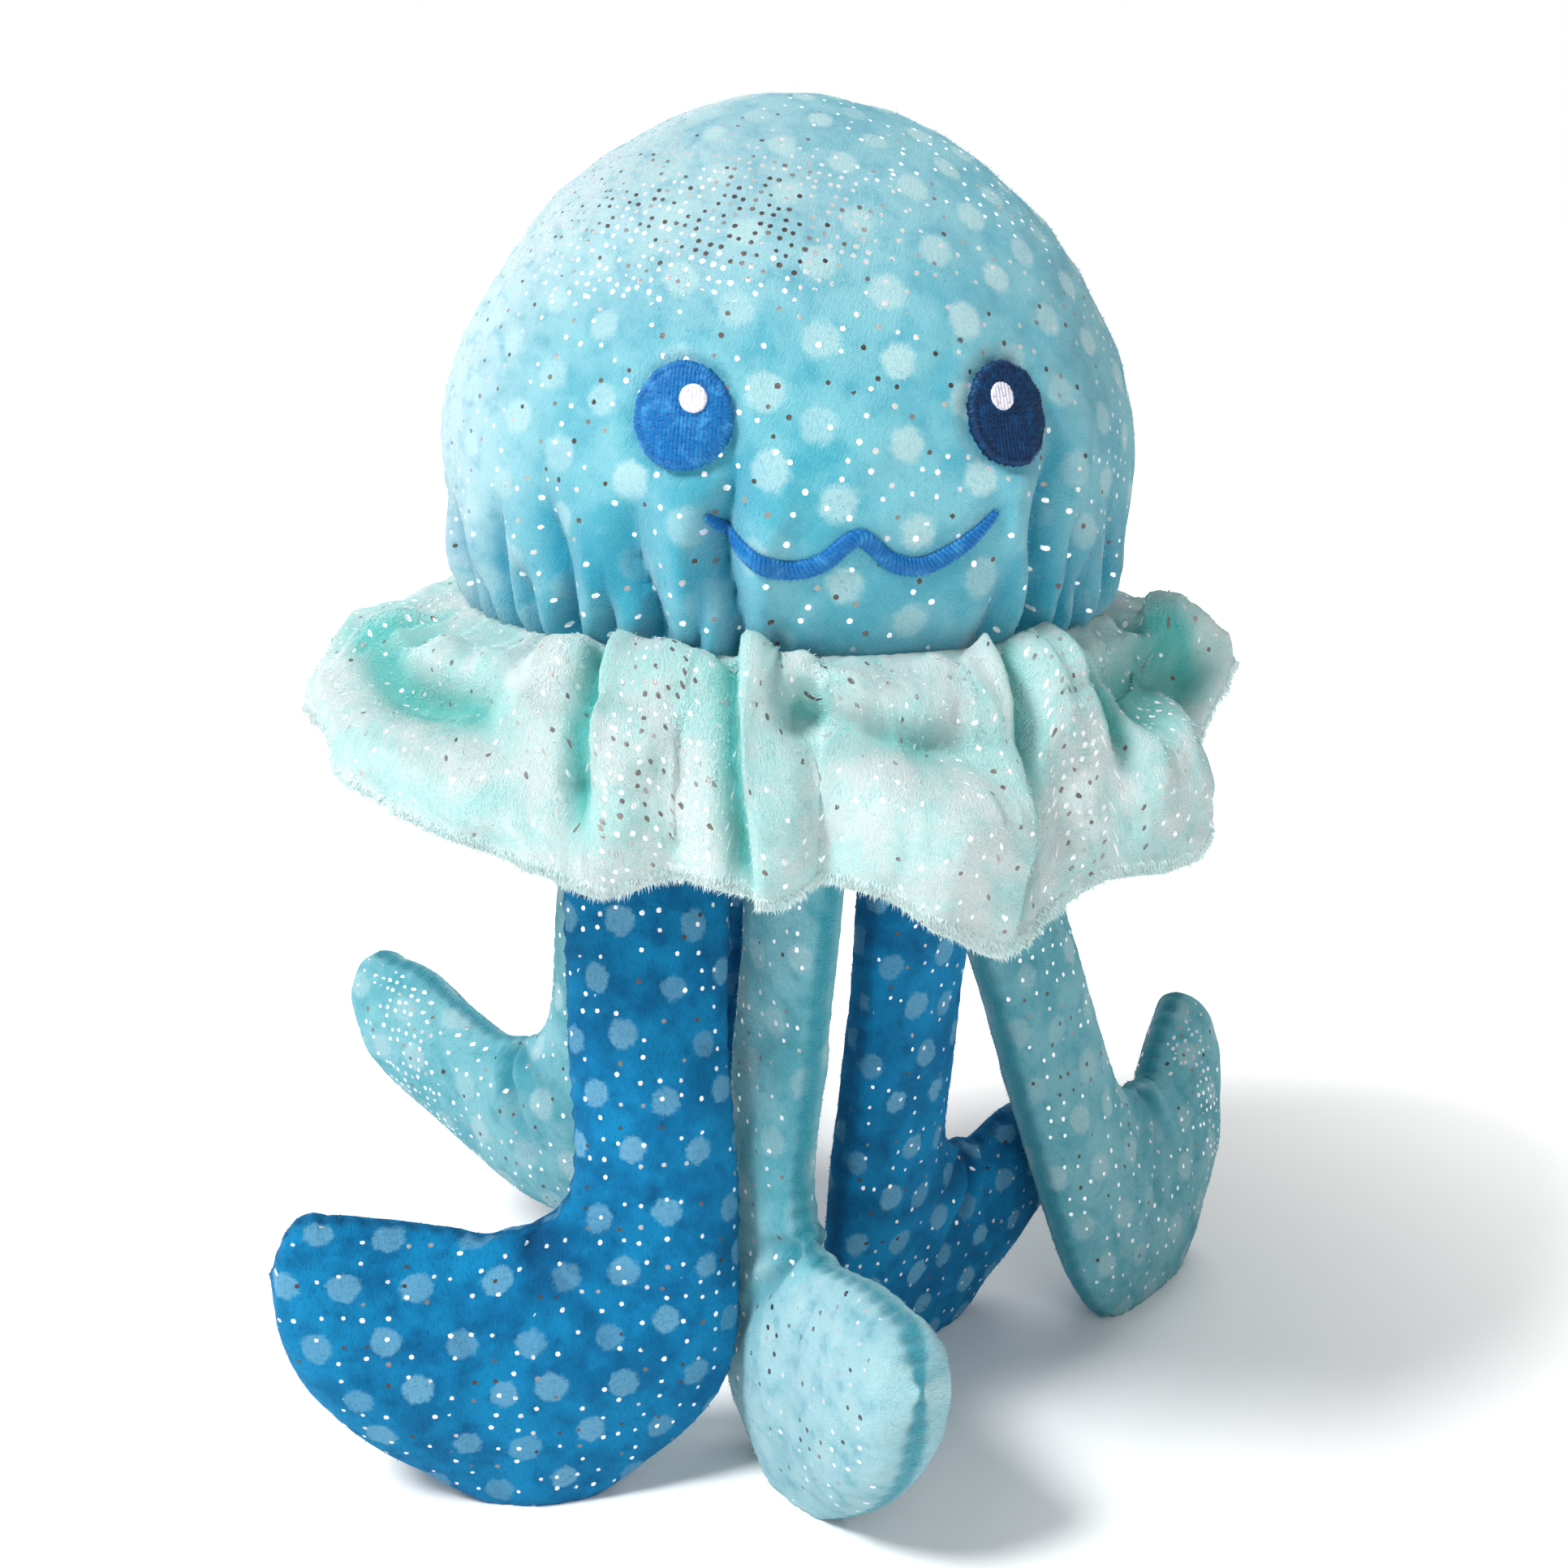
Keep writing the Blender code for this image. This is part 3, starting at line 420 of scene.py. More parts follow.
def head_dents(azimuth, z):
    """(how far the skin stands out from the plain head, how much painted shade it gets in creases, seams, round the
    stitching and at the neck).
    """
    a, z = np.asarray(azimuth, float), np.asarray(z, float)
    r = np.maximum(head_radius(z), 2.0)
    x, y = polar(a, r)
    out = 0.55 * waves(x, y, z, 34, 3) + 0.22 * waves(x, y, z, 11, 4)
    painted_shade = np.zeros(out.shape)
    for at, depth, width, tall in GATHERS:
        # each crease leans and wanders a little on its way up
        lean = (z - NECK_Z) * (0.12 * math.sin(at * 1.7))
        wander = 0.9 * np.sin((z - NECK_Z) / 5.0 + at)
        d = turn(a - at - lean - wander)
        fade = (1 - ease(z, NECK_Z + tall * 0.35, NECK_Z + tall * 1.12)) * ease(z, NECK_Z - 2, NECK_Z + 6, ) ** 0.5
        grow = width * (0.72 + 0.9 * (1 - ease(z, NECK_Z + tall * 1.1, NECK_Z)))
        cusp = np.exp(-np.abs(d) / (0.62 * grow))
        out = out - 1.45 * depth * cusp * fade + 0.50 * depth * (bell(d - 2.2 * grow, grow * 1.05) + bell(d + 2.2 * grow, grow * 1.05)) * fade
        # painted shade down each crease
        painted_shade = painted_shade + 1.75 * np.exp(-np.abs(d - 0.3) / (0.80 * grow)) * fade * min(1.0, depth / 3.2)
    # side seams, puckered
    side = np.abs(np.abs(turn(a)) - SEAM_AZ) * np.pi / 180 * r
    along = z * 1.0 + 0.25 * r
    out = out - 0.9 * bell(side, 0.9) + 0.28 * bell(side - 2.6, 1.6)
    out = out - 0.35 * bell(side, 4.5) * (0.5 + 0.5 * np.sin(2 * math.pi * along / 4.6))
    # painted shade down the seam
    painted_shade = painted_shade + 0.8 * bell(side, 0.75)
    # the stitching pulls the cloth in round the eyes and along the mouth
    for sign in (-1, 1):
        du = turn(a - sign * EYE_AZ) * np.pi / 180 * HEAD_R
        dv = z - EYE_Z
        rho = np.hypot(du / EYE_W, dv / EYE_H)
        ang = np.arctan2(dv, du)
        pull = 0.75 * bell((rho - 1.04) * EYE_W, 1.5) * (1 + 0.3 * np.sin(11 * ang + sign)) - 0.3 * bell((rho - 1.45) * EYE_W, 2.2)
        out = out - pull * (rho < 2.4)
        # painted shade in the dent round each eye
        painted_shade = painted_shade + 0.55 * bell((rho - 1.05) * EYE_W, 0.9)
    out = out - 0.5 * bell(mouth_distance(a, z), 2.6)
    # painted shade along the mouth's dent
    painted_shade = painted_shade + 0.4 * bell(mouth_distance(a, z), 2.1)
    # painted shade where the skin turns under at the neck seam
    painted_shade = painted_shade + 0.55 * (1 - ease(z, NECK_Z + 2.0, NECK_Z + 9.0))
    return out, np.clip(painted_shade, 0, 1)


MOUTH = [(-21.6, 218.4, 0.5), (-18.6, 214.7, 1.2), (-14.2, 211.2, 1.5), (-9.5, 209.2, 1.6), (-4.8, 210.5, 1.6), (0.4, 214.9, 1.5),
         (5.4, 210.5, 1.6), (10.0, 209.2, 1.6), (14.6, 211.2, 1.5), (18.9, 214.7, 1.2), (21.9, 218.4, 0.5)]


def mouth_distance(azimuth, z):
    line = catmull(MOUTH, np.linspace(0, 10, 61))
    a, z = np.broadcast_arrays(np.asarray(azimuth, float), np.asarray(z, float))
    best = np.full(a.shape, 99.0)
    near = (np.abs(turn(a)) < 32) & (z > 200) & (z < 228)
    if near.any():
        du = turn(a[near])[:, None] - line[None, :, 0]
        d = np.hypot(du * np.pi / 180 * HEAD_R, z[near][:, None] - line[None, :, 1])
        best[near] = d.min(1)
    return best


def on_head(azimuth, z, lift, follow=True):
    """Points lift mm above the head's skin."""
    a, z = np.broadcast_arrays(np.asarray(azimuth, float), np.asarray(z, float))
    slope = (head_radius(z + 0.2) - head_radius(z - 0.2)) / 0.4
    slope = np.clip(slope, -40, 40)
    length = np.hypot(1.0, slope)
    d = lift + (head_dents(a, z)[0] if follow else 0.0)
    x, y = polar(a, head_radius(z) + d / length)
    return np.stack([x, y, z - d * slope / length], -1)


def head_pattern(points, front):
    """Cloth coordinates of a head panel: laid flat round the middle of the face or of the back."""
    v = points - np.array([0, 0, 222.0])
    v = v / np.maximum(np.linalg.norm(v, axis=-1, keepdims=True), 1e-6)
    sx = 1.0 if front else -1.0
    ahead = -v[..., 1] * sx
    angle = np.arccos(np.clip(ahead, -1, 1))
    side, up = v[..., 0] * sx, v[..., 2]
    length = np.maximum(np.hypot(side, up), 1e-6)
    u = 72.0 * angle * side / length
    w = 72.0 * angle * up / length
    # laid straight on the bolt at a slant, so the dots' rows don't run level
    c, s = math.cos(0.42), math.sin(0.42)
    return np.stack([u * c - w * s + (300 if front else 900), u * s + w * c + 300], -1)


def build_head():
    rows, cols = 176, 336
    f = np.linspace(0, 1, rows + 1)[1:]
    theta = (1 - f / 0.8) * np.pi / 2
    z = np.where(f <= 0.8, HEAD_MID_Z + (HEAD_TOP_Z - HEAD_MID_Z) * np.sin(np.clip(theta, 0, 2)), HEAD_MID_Z - (HEAD_MID_Z - NECK_Z + 1.2) * (f - 0.8) / 0.2)
    a = -180 + 360 * np.arange(cols) / cols
    A, Z = np.meshgrid(a, z)
    P = on_head(A, np.maximum(Z, NECK_Z - 1.2), 0.0)
    _, painted_shade = head_dents(A, Z)
    # the skin below the seam tucks in under the base
    tuck = []
    for k, (dr, dz) in enumerate(((2.5, -1.6), (9.0, -3.2), (26.0, -3.9), (48.0, -3.9))):
        x, y = polar(a, NECK_R - dr)
        tuck.append(np.stack([x, y, np.full(cols, NECK_Z + dz + 0.4 * math.cos(k))], -1))
    P = np.concatenate([P, np.array(tuck)])
    # painted shade on the tucked-under skin
    painted_shade = np.concatenate([painted_shade, np.full((4, cols), 0.7)])
    n = len(P)
    flat = P.reshape(-1, 3)
    faces, corners = grid(n, cols)
    # cloth coordinates per panel: a face belongs to the front if its middle is
    mid = -180 + 360 * (np.arange(cols) + 0.5) / cols
    is_front = np.tile(np.abs(mid) < SEAM_AZ, n - 1)
    pts = flat[faces]
    pat = np.where(is_front[:, None, None], head_pattern(pts, True), head_pattern(pts, False))
    top, bottom = len(flat), len(flat) + 1
    flat = np.vstack([flat, [0, 0, HEAD_TOP_Z + 0.55 * 0], [0, 0, NECK_Z - 3.9]])
    cap_t = fan(np.arange(cols), top, True)
    cap_b = fan(np.arange((n - 1) * cols, n * cols), bottom)
    pat_t, pat_b = head_pattern(flat[cap_t], True), head_pattern(flat[cap_b], True)
    # a patch high on the left of the face is thick with foil specks, and so is one at the lower left; dense also paints
    # their reflection darker there
    pa, pz = np.degrees(np.arctan2(flat[:, 0], -flat[:, 1])), flat[:, 2]
    dense = 0.62 * bell(turn(pa + 40) * np.cos(np.radians((pz - 222) * 1.1)), 36) * bell(pz - 268, 15) + 0.38 * bell(turn(pa + 12), 15) * bell(pz - 266, 9)
    # painted highlight on the left of the head and high on its upper left, where the key light falls
    painted_highlight = 0.85 * ease(-turn(pa + 10), 34, 74) * (1 - ease(-turn(pa + 10), 120, 150)) + 0.65 * bell(turn(pa + 42), 50) * bell(pz - 272, 18)
    obj = make_piece("head_plush", flat, [faces[:, ::-1], cap_t[:, ::-1], cap_b[:, ::-1]], AQUA, [pat[:, ::-1], pat_t[:, ::-1], pat_b[:, ::-1]],
                     {"painted_shade": np.concatenate([painted_shade.ravel(), [0.0, 0.7]]), "dense": dense, "painted_highlight": painted_highlight})
    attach(obj, "root")
    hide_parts("head_front_panel", "head_back_panel", "head_stuffing", "base_panel")
    return obj


# ---- embroidery ------------------------------------------------------------------------------------------------------
def stitched_pad(name, az, z, half_w, half_h, mat, node, low, high, border, rings, cols, rim=0.45):
    """A filled embroidery: satin border with stitches across it, and a brick-laid fill of straight stitches inside."""
    k = np.linspace(0, 1, rings + 1)[1:]
    b = 2 * np.pi * np.arange(cols) / cols
    K, B = np.meshgrid(k, b, indexing="ij")
    edge = 1 + 0.012 * np.sin(B * 37) + 0.008 * np.sin(B * 61 + 1)
    du, dv = half_w * K * np.cos(B) * edge, half_h * K * np.sin(B) * edge
    rho = K
    in_border = ease(rho, 1 - border - 0.03, 1 - border + 0.03)
    inside = 1 - in_border
    pitch = 0.74
    threads = np.abs(np.sin(np.pi * du / pitch))
    column = np.floor(du / pitch)
    brick = np.abs(np.sin(np.pi * (dv / 3.4 + 0.33 * (column % 3))))
    fill = 0.2 * threads - 0.2 * (1 - ease(brick, 0.0, 0.3))
    count = round(2 * np.pi * (half_w + half_h) / 2 / 0.72)
    spokes = np.abs(np.sin(B * count / 2 + 0.25 * np.sin(B * 9)))
    arch = np.sqrt(np.clip(1 - ((rho - (1 - border / 2)) / (border / 2 + 0.02)) ** 2, 0, 1))
    satin = 0.42 * arch + 0.2 * spokes - 0.10
    lift = high + inside * fill + in_border * satin
    lift = lift - rim * np.clip((rho - 0.97) / 0.03, 0, 1) ** 2 * 2
    # painted shade between the fill's threads and their brick ends, between the satin stitches and along the border's
    # inner edge
    painted_shade = inside * (0.55 * (1 - threads) ** 2 + 0.5 * (1 - ease(brick, 0.0, 0.3))) + in_border * 0.6 * (1 - spokes) ** 2 + 0.9 * bell(rho - (1 - border), 0.035)
    top = on_head(az + np.degrees(du / HEAD_R), z + dv, lift)
    under = on_head(az + np.degrees(du[-1] / HEAD_R), z + dv[-1], low)
    pts = np.concatenate([top.reshape(-1, 3), under])
    faces, corners = grid(rings + 1, cols)
    uv = np.stack([du, dv], -1)
    uv = np.concatenate([uv, uv[-1:]])
    uv = np.concatenate([uv, uv[:, :1]], 1).reshape(-1, 2)
    centre_t = on_head(np.array([az]), np.array([z]), high + 0.05)
    centre_b = on_head(np.array([az]), np.array([z]), low)
    pts = np.concatenate([pts, centre_t, centre_b])
    ct, cb = len(pts) - 2, len(pts) - 1
    ft = fan(np.arange(cols), ct, True)
    fb = fan(np.arange(rings * cols, (rings + 1) * cols), cb)
    flat_uv = np.concatenate([np.stack([du, dv], -1).reshape(-1, 2), np.stack([du[-1], dv[-1]], -1), [[0, 0], [0, 0]]])
    # the underside ring and the centres get painted shade too
    obj = make_piece(name, pts, [faces, ft, fb], mat, [uv[corners], flat_uv[ft], flat_uv[fb]],
                     {"painted_shade": np.concatenate([np.clip(painted_shade, 0, 1).ravel(), np.full(cols, 0.6), [0.2, 0.6]])})
    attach(obj, "root")
    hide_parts(node)
    return obj


def build_mouth():
    rows, across = 520, 13
    s = np.linspace(0, 10, rows)
    line = catmull(MOUTH, s)
    du = np.gradient(np.radians(line[:, 0]) * HEAD_R)
    dv = np.gradient(line[:, 1])
    length = np.hypot(du, dv)
    run = np.cumsum(length)
    nx, nz = -dv / length, du / length
    half = np.maximum(0.35, line[:, 2]) + 0.1
    k = np.linspace(-1, 1, across)
    S, K = np.meshgrid(run, k, indexing="ij")
    edge = 1 + 0.05 * np.sin(S * 2 * np.pi / 0.95) * (np.abs(K) > 0.8)
    off = half[:, None] * K * edge
    a = line[:, 0][:, None] + np.degrees(nx[:, None] * off / HEAD_R)
    z = line[:, 1][:, None] + nz[:, None] * off
    ridges = np.abs(np.sin(np.pi * (S + 0.35 * K * half[:, None]) / 0.86))
    lift = 0.25 + 0.95 * np.sqrt(np.clip(1 - K**2, 0, 1)) * np.clip(half[:, None] / 1.3, 0.4, 1) + 0.24 * ridges
    top = on_head(a, z, lift)
    low = on_head(a[:, ::-1], z[:, ::-1], -0.6)
    ring = np.concatenate([top, low], 1)
    cols = ring.shape[1]
    pts = ring.reshape(-1, 3)
    faces, corners = grid(rows, cols)
    uv = np.stack([S, K * 1.6], -1)
    uv = np.concatenate([uv, uv[:, ::-1], uv[:, :1]], 1).reshape(-1, 2)
    # painted shade between the stitches and on the underside
    painted_shade = np.concatenate([0.6 * (1 - ridges) ** 2, np.full((rows, across), 0.6)], 1)
    pts = np.concatenate([pts, ring[:1].mean(1), ring[-1:].mean(1)])
    n = rows * cols
    f0, f1 = fan(np.arange(cols), n, True), fan(np.arange((rows - 1) * cols, rows * cols), n + 1)
    flat_uv = np.concatenate([np.stack([np.repeat(run, cols), np.zeros(n)], -1), [[0, 0], [run[-1], 0]]])
    obj = make_piece("mouth_stitching", pts, [faces, f0, f1], BLUE_THREAD, [uv[corners], flat_uv[f0], flat_uv[f1]],
                     {"painted_shade": np.concatenate([painted_shade.ravel(), [0.4, 0.4]])})
    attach(obj, "root")
    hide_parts("mouth_embroidery")
    return obj


# ---- ruffle ----------------------------------------------------------------------------------------------------------
HEM = [
    (-176, 93, 146), (-159, 84, 156), (-142, 97, 144), (-126, 88, 156), (-110, 100, 157), (-96, 100, 166), (-83, 98, 173), (-70, 98, 166),
    (-54, 94, 162), (-40, 90, 156), (-31, 87, 152), (-24, 79, 155), (-17, 84, 154), (-11, 85, 152), (-6, 80, 155), (1, 86, 155),
    (9, 90, 147), (16, 88, 141), (26, 85, 145), (34, 87, 150), (42, 93, 150), (49, 95, 152), (58, 88, 166), (69, 93, 181),
    (82, 92, 170), (97, 97, 156), (111, 86, 158), (125, 96, 145), (141, 86, 156), (156, 96, 144), (171, 88, 152),
]
# how far the top of the ruffle stands above its seam
ROOT_LIFT = [(-180, -0.8), (-130, -0.8), (-100, -2.4), (-82, -3.2), (-62, -2.2), (-46, 0.2), (-34, 2.0), (-21, 2.2), (-14, 1.6), (-5, -1.0), (6, -2.4),
             (17, -2.0), (24, 1.6), (30, 2.6), (35, 1.6), (42, -1.2), (52, -2.2), (70, -3.0), (95, -2.6), (130, -0.8)]
# folds: azimuth at the seam, azimuth at the hem, from t, to t, half width in degrees, depth in mm (below 0 is a ridge)
FOLDS = [
    (-26.0, -24.0, 0.05, 1.0, 5.0, -2.0), (29.0, 28.0, 0.0, 0.6, 3.6, -2.4), (47.0, 50.0, 0.10, 0.60, 8.0, 8.5),
    (-67.0, -58.0, 0.28, 0.68, 13.0, 8.5), (-43.0, -47.0, 0.0, 0.6, 3.6, -4.0), (-52.0, -54.0, 0.35, 1.0, 9.0, -2.6), (-2.5, -1.0, 0.04, 0.36, 2.8, -5.5),
    (-7.5, -5.0, 0.16, 0.46, 3.6, 7.0), (58.0, 62.0, 0.15, 0.9, 4.0, 6.5), (40.0, 43.0, 0.05, 0.9, 3.0, -2.6), (12.0, 10.0, 0.45, 1.0, 9.0, -2.0), (-76.0, -78.0, 0.05, 0.6, 5.0, 3.0), (76.0, 74.0, 0.1, 0.6, 5.0, 3.5),
    (-90.0, -89.0, 0.05, 0.7, 4.0, 3.0), (92.0, 90.0, 0.05, 0.7, 4.0, 3.0),
    (-134.0, -134.0, 0.05, 0.9, 4.5, 3.5), (-167.0, -167.0, 0.05, 0.9, 4.5, 4.0), (163.0, 164.0, 0.05, 0.9, 4.0, 3.5), (133.0, 133.0, 0.05, 0.9, 4.0, 3.5),
    (104.0, 104.0, 0.05, 0.9, 4.0, 3.5), (-103.0, -103.0, 0.05, 0.9, 4.0, 3.5),
]
# laps, where the cloth steps over itself: azimuth at the seam and at the hem, from t, to t, high side, step in mm, reach in degrees
LAPS = [
    (-17.0, -13.0, 0.0, 1.15, 1, 7.0, 8.0), (-36.5, -32.0, 0.0, 0.9, 1, 6.5, 7.0), (23.5, 17.5, 0.0, 1.0, -1, 6.5, 9.0), (35.0, 38.0, 0.0, 0.7, -1, 5.0, 5.5),
    (-54.0, -50.0, 0.0, 0.30, 1, 2.2, 5.0), (64.0, 66.0, 0.0, 0.7, 1, 3.0, 6.0), (-84.0, -84.0, 0.0, 0.7, -1, 2.8, 6.0), (84.0, 83.0, 0.0, 0.8, -1, 3.0, 6.0),
    (-118.0, -118.0, 0.0, 0.95, 1, 4.0, 8.0), (-150.0, -151.0, 0.0, 0.95, -1, 4.0, 8.0), (176.0, 177.0, 0.0, 0.95, 1, 4.2, 8.0),
    (148.0, 149.0, 0.0, 0.95, -1, 4.0, 8.0), (118.0, 118.0, 0.0, 0.95, 1, 4.0, 8.0),
]
ROOT_R, ROOT_Z, RUFFLE_CLOTH = NECK_R + 1.6, NECK_Z + 1.8, 1.1


def ruffle_base(azimuth, t):
    r1 = ring_value(HEM, azimuth, 1)
    z1 = ring_value(HEM, azimuth, 2)
    lift = ring_value(ROOT_LIFT, azimuth, 1)
    r = ROOT_R + (r1 - ROOT_R) * (1 - (1 - t) ** 1.86)
    z = ROOT_Z + (z1 - ROOT_Z) * t**1.35
    # a soft roll where the gathers leave the seam
    roll = np.sin(np.pi * np.clip(t / 0.3, 0, 1))
    z = z + (0.5 + lift) * roll
    a = np.radians(azimuth)
    pleat = np.sin(31 * a + 1.6 * np.sin(3 * a) + 0.8 * np.sin(7 * a + 1)) + 0.4 * np.sin(53 * a + 2)
    soft = np.clip(1 - t / 0.42, 0, 1) ** 1.4 * ease(t, 0.0, 0.05)
    z = z + 0.95 * pleat * soft
    r = r + 0.55 * pleat * soft
    x, y = polar(azimuth, r)
    return np.stack([x, y, z], -1), pleat * soft


def ruffle_skin(azimuth, t, detail=True):
    """(points, unit normals out of the cloth's face, painted shade in its valleys, creases and laps)."""
    azimuth, t = np.broadcast_arrays(np.asarray(azimuth, float), np.asarray(t, float))
    p, pleat = ruffle_base(azimuth, t)
    da = ruffle_base(azimuth + 0.6, t)[0] - ruffle_base(azimuth - 0.6, t)[0]
    t0, t1 = np.maximum(t - 0.015, 0), np.minimum(t + 0.015, 1)
    dt = ruffle_base(azimuth, t1)[0] - ruffle_base(azimuth, t0)[0]
    normal = np.cross(da, dt)
    normal /= np.maximum(np.linalg.norm(normal, axis=-1, keepdims=True), 1e-9)
    normal *= np.where(normal[..., 2:] < 0, -1, 1)
    d = np.zeros(t.shape)
    # painted shade in the valleys of the small pleats, the folds and under the laps
    painted_shade = 0.30 * np.clip(-pleat, 0, 1)
    for root, hem, a, b, width, depth in FOLDS:
        at = root + (hem - root) * t
        off = turn(azimuth - at)
        along = ease(t, a, a + 0.16) * (1 - ease(t, b - 0.22, b)) if b < 1.0 else ease(t, a, a + 0.2)
        w = width * (0.8 + 0.5 * t)
        d = d - depth * bell(off, w) * along + 0.3 * abs(depth) * (depth > 0) * (bell(off - 2.1 * w, w) + bell(off + 2.1 * w, w)) * along
        if depth > 0:
            painted_shade = painted_shade + 1.15 * bell(off, w) * along * min(1.0, depth / 5.0)
    for root, hem, a, b, sign, step, reach in LAPS:
        s = turn(azimuth - (root + (hem - root) * t)) * sign
        along = (ease(t, a - 0.05, a + 0.12) if a > 0 else ease(t, 0.0, 0.08)) * (1 - ease(t, b - 0.3, b))
        high = 1 / (1 + np.exp(-np.clip(s / 0.28, -40, 40)))
        d = d + along * step * (0.75 * high * np.exp(-np.maximum(s, 0) / reach) - 0.7 * bell(s + 1.6, 1.9) * (1 - high))
        painted_shade = painted_shade + 1.3 * bell(s + 1.2, 2.2) * (1 - 0.7 * high) * along * min(1.0, step / 4.0)
    # the broad front lobe dips, swells and drops to its hem
    front = bell(turn(azimuth - 5), 15)
    d = d - 4.8 * front * bell(t - 0.40, 0.085) + 4.0 * front * bell(t - 0.66, 0.13) + 1.6 * front * bell(t - 0.18, 0.1)
    # painted shade in the front lobe's dip
    painted_shade = painted_shade + 0.75 * front * bell(t - 0.40, 0.075) * bell(turn(azimuth - 9), 12)
    left = bell(turn(azimuth + 60), 24)
    d = d + 3.2 * left * bell(t - 0.80, 0.13) + 2.0 * left * bell(t - 0.22, 0.1)
    # painted shade in the dips at the left and the right
    painted_shade = painted_shade + 0.7 * bell(turn(azimuth + 63), 14) * bell(t - 0.47, 0.075) + 0.35 * bell(turn(azimuth - 56), 12) * bell(t - 0.35, 0.1)
    if detail:
        x, y, z = p[..., 0], p[..., 1], p[..., 2]
        d = d + 0.75 * waves(x, y, z, 17, 11) * ease(t, 0.02, 0.2) + 0.3 * waves(x, y, z, 6.5, 12) * ease(t, 0.02, 0.15) + 0.16 * waves(x, y, z, 2.6, 13)
    return p + normal * d[..., None], normal, np.clip(painted_shade, 0, 1)


def ruffle_run():
    """Cloth length along the strip at each azimuth, and the strip's width."""
    a = np.linspace(-180, 180, 1441)
    p = ruffle_skin(a, np.full(a.shape, 0.75), False)[0]
    run = np.concatenate([[0], np.cumsum(np.linalg.norm(np.diff(p, axis=0), axis=1))])
    return a, run


def build_ruffle():
    knots, run = ruffle_run()
    made = []
    for name, node, depth, cols, rows, detail in (("ruffle_outer_layer", "ruffle_outer", 0.0, 680, 52, True), ("ruffle_lining_layer", "ruffle_lining", RUFFLE_CLOTH + 0.5, 480, 22, False)):
        a = -180 + 360 * np.arange(cols) / cols
        t = np.linspace(0, 1, rows)
        A, T = np.meshgrid(a, t)
        P, N, painted_shade = ruffle_skin(A, T, detail)
        P = P - N * depth
        # cloth width as it runs down
        step = np.linalg.norm(np.diff(P, axis=0), axis=-1)
        down = np.concatenate([np.zeros((1, cols)), np.cumsum(step, 0)])
        under_rows = rows // 2
        pick = np.linspace(rows - 1, 0, under_rows).round().astype(int)
        U = P[pick] - N[pick] * RUFFLE_CLOTH
        # a rounded hem
        ring = [P, P[-1:] - N[-1:] * RUFFLE_CLOTH * 0.5 + np.array([0, 0, -0.55]), U]
        Q = np.concatenate(ring)
        total = len(Q)
        uv_v = np.concatenate([down, down[-1:] + 0.6, 2 * down[-1:] + 2 - down[pick]])
        uv_u = np.broadcast_to(np.interp(a, knots, run), (total, cols))
        uv = np.stack([uv_u, uv_v], -1)
        last = uv[:, :1].copy()
        last[..., 0] = run[-1]
        uv = np.concatenate([uv, last], 1).reshape(-1, 2)
        faces, corners = grid(total, cols)
        # close the top between the two skins
        j = np.arange(cols)
        k = (j + 1) % cols
        rim = np.stack([(total - 1) * cols + j, (total - 1) * cols + k, k, j], -1)
        rim_uv = np.stack([uv_u[0][j], np.zeros(cols)], -1)[:, None, :].repeat(4, 1)
        # painted shade: less towards the hem, a little on the hem's edge, and more on the underside near the seam
        F = np.concatenate([painted_shade * (1 - 0.7 * ease(T, 0.86, 1.0)), 0.1 * painted_shade[-1:], 0.12 + 0.6 * painted_shade[pick] * (1 - T[pick])])
        dense = 0.55 * bell(turn(A + 26), 8.5) + 0.5 * bell(turn(A - 30), 6) + 0.45 * bell(turn(A + 92), 13) + 0.28 * bell(turn(A - 50), 12) + 0.3 * bell(turn(A - 130), 9) + 0.3 * bell(turn(A + 165), 9)
        dense = np.concatenate([dense, dense[-1:], dense[pick]])
        # painted highlight on the hem and the underside near it, lightening the shade that falls there
        obj = make_piece(name, Q.reshape(-1, 3), [faces[:, ::-1], rim[:, ::-1]], MINT, [uv[corners][:, ::-1], rim_uv], {"painted_shade": F.ravel(), "dense": dense.ravel(), "painted_highlight": np.concatenate([0.9 * ease(T, 0.9, 1.0), np.full((1, cols), 1.0), 0.9 * ease(T[pick], 0.6, 1.0)]).ravel()})
        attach(obj, "root")
        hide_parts(node)
        p = np.concatenate([P, P[:, :1]], 1)
        area = 0.5 * (np.linalg.norm(np.cross(p[1:, :-1] - p[:-1, :-1], p[:-1, 1:] - p[:-1, :-1]), axis=-1).sum() + np.linalg.norm(np.cross(p[1:, :-1] - p[1:, 1:], p[:-1, 1:] - p[1:, 1:]), axis=-1).sum())
        print(name, "strip", round(run[-1], 1), "mean width", round(down[-1].mean(), 1), "area mm2", round(area))
        made.append(obj)
    build_pile(knots, run, P)
    return made


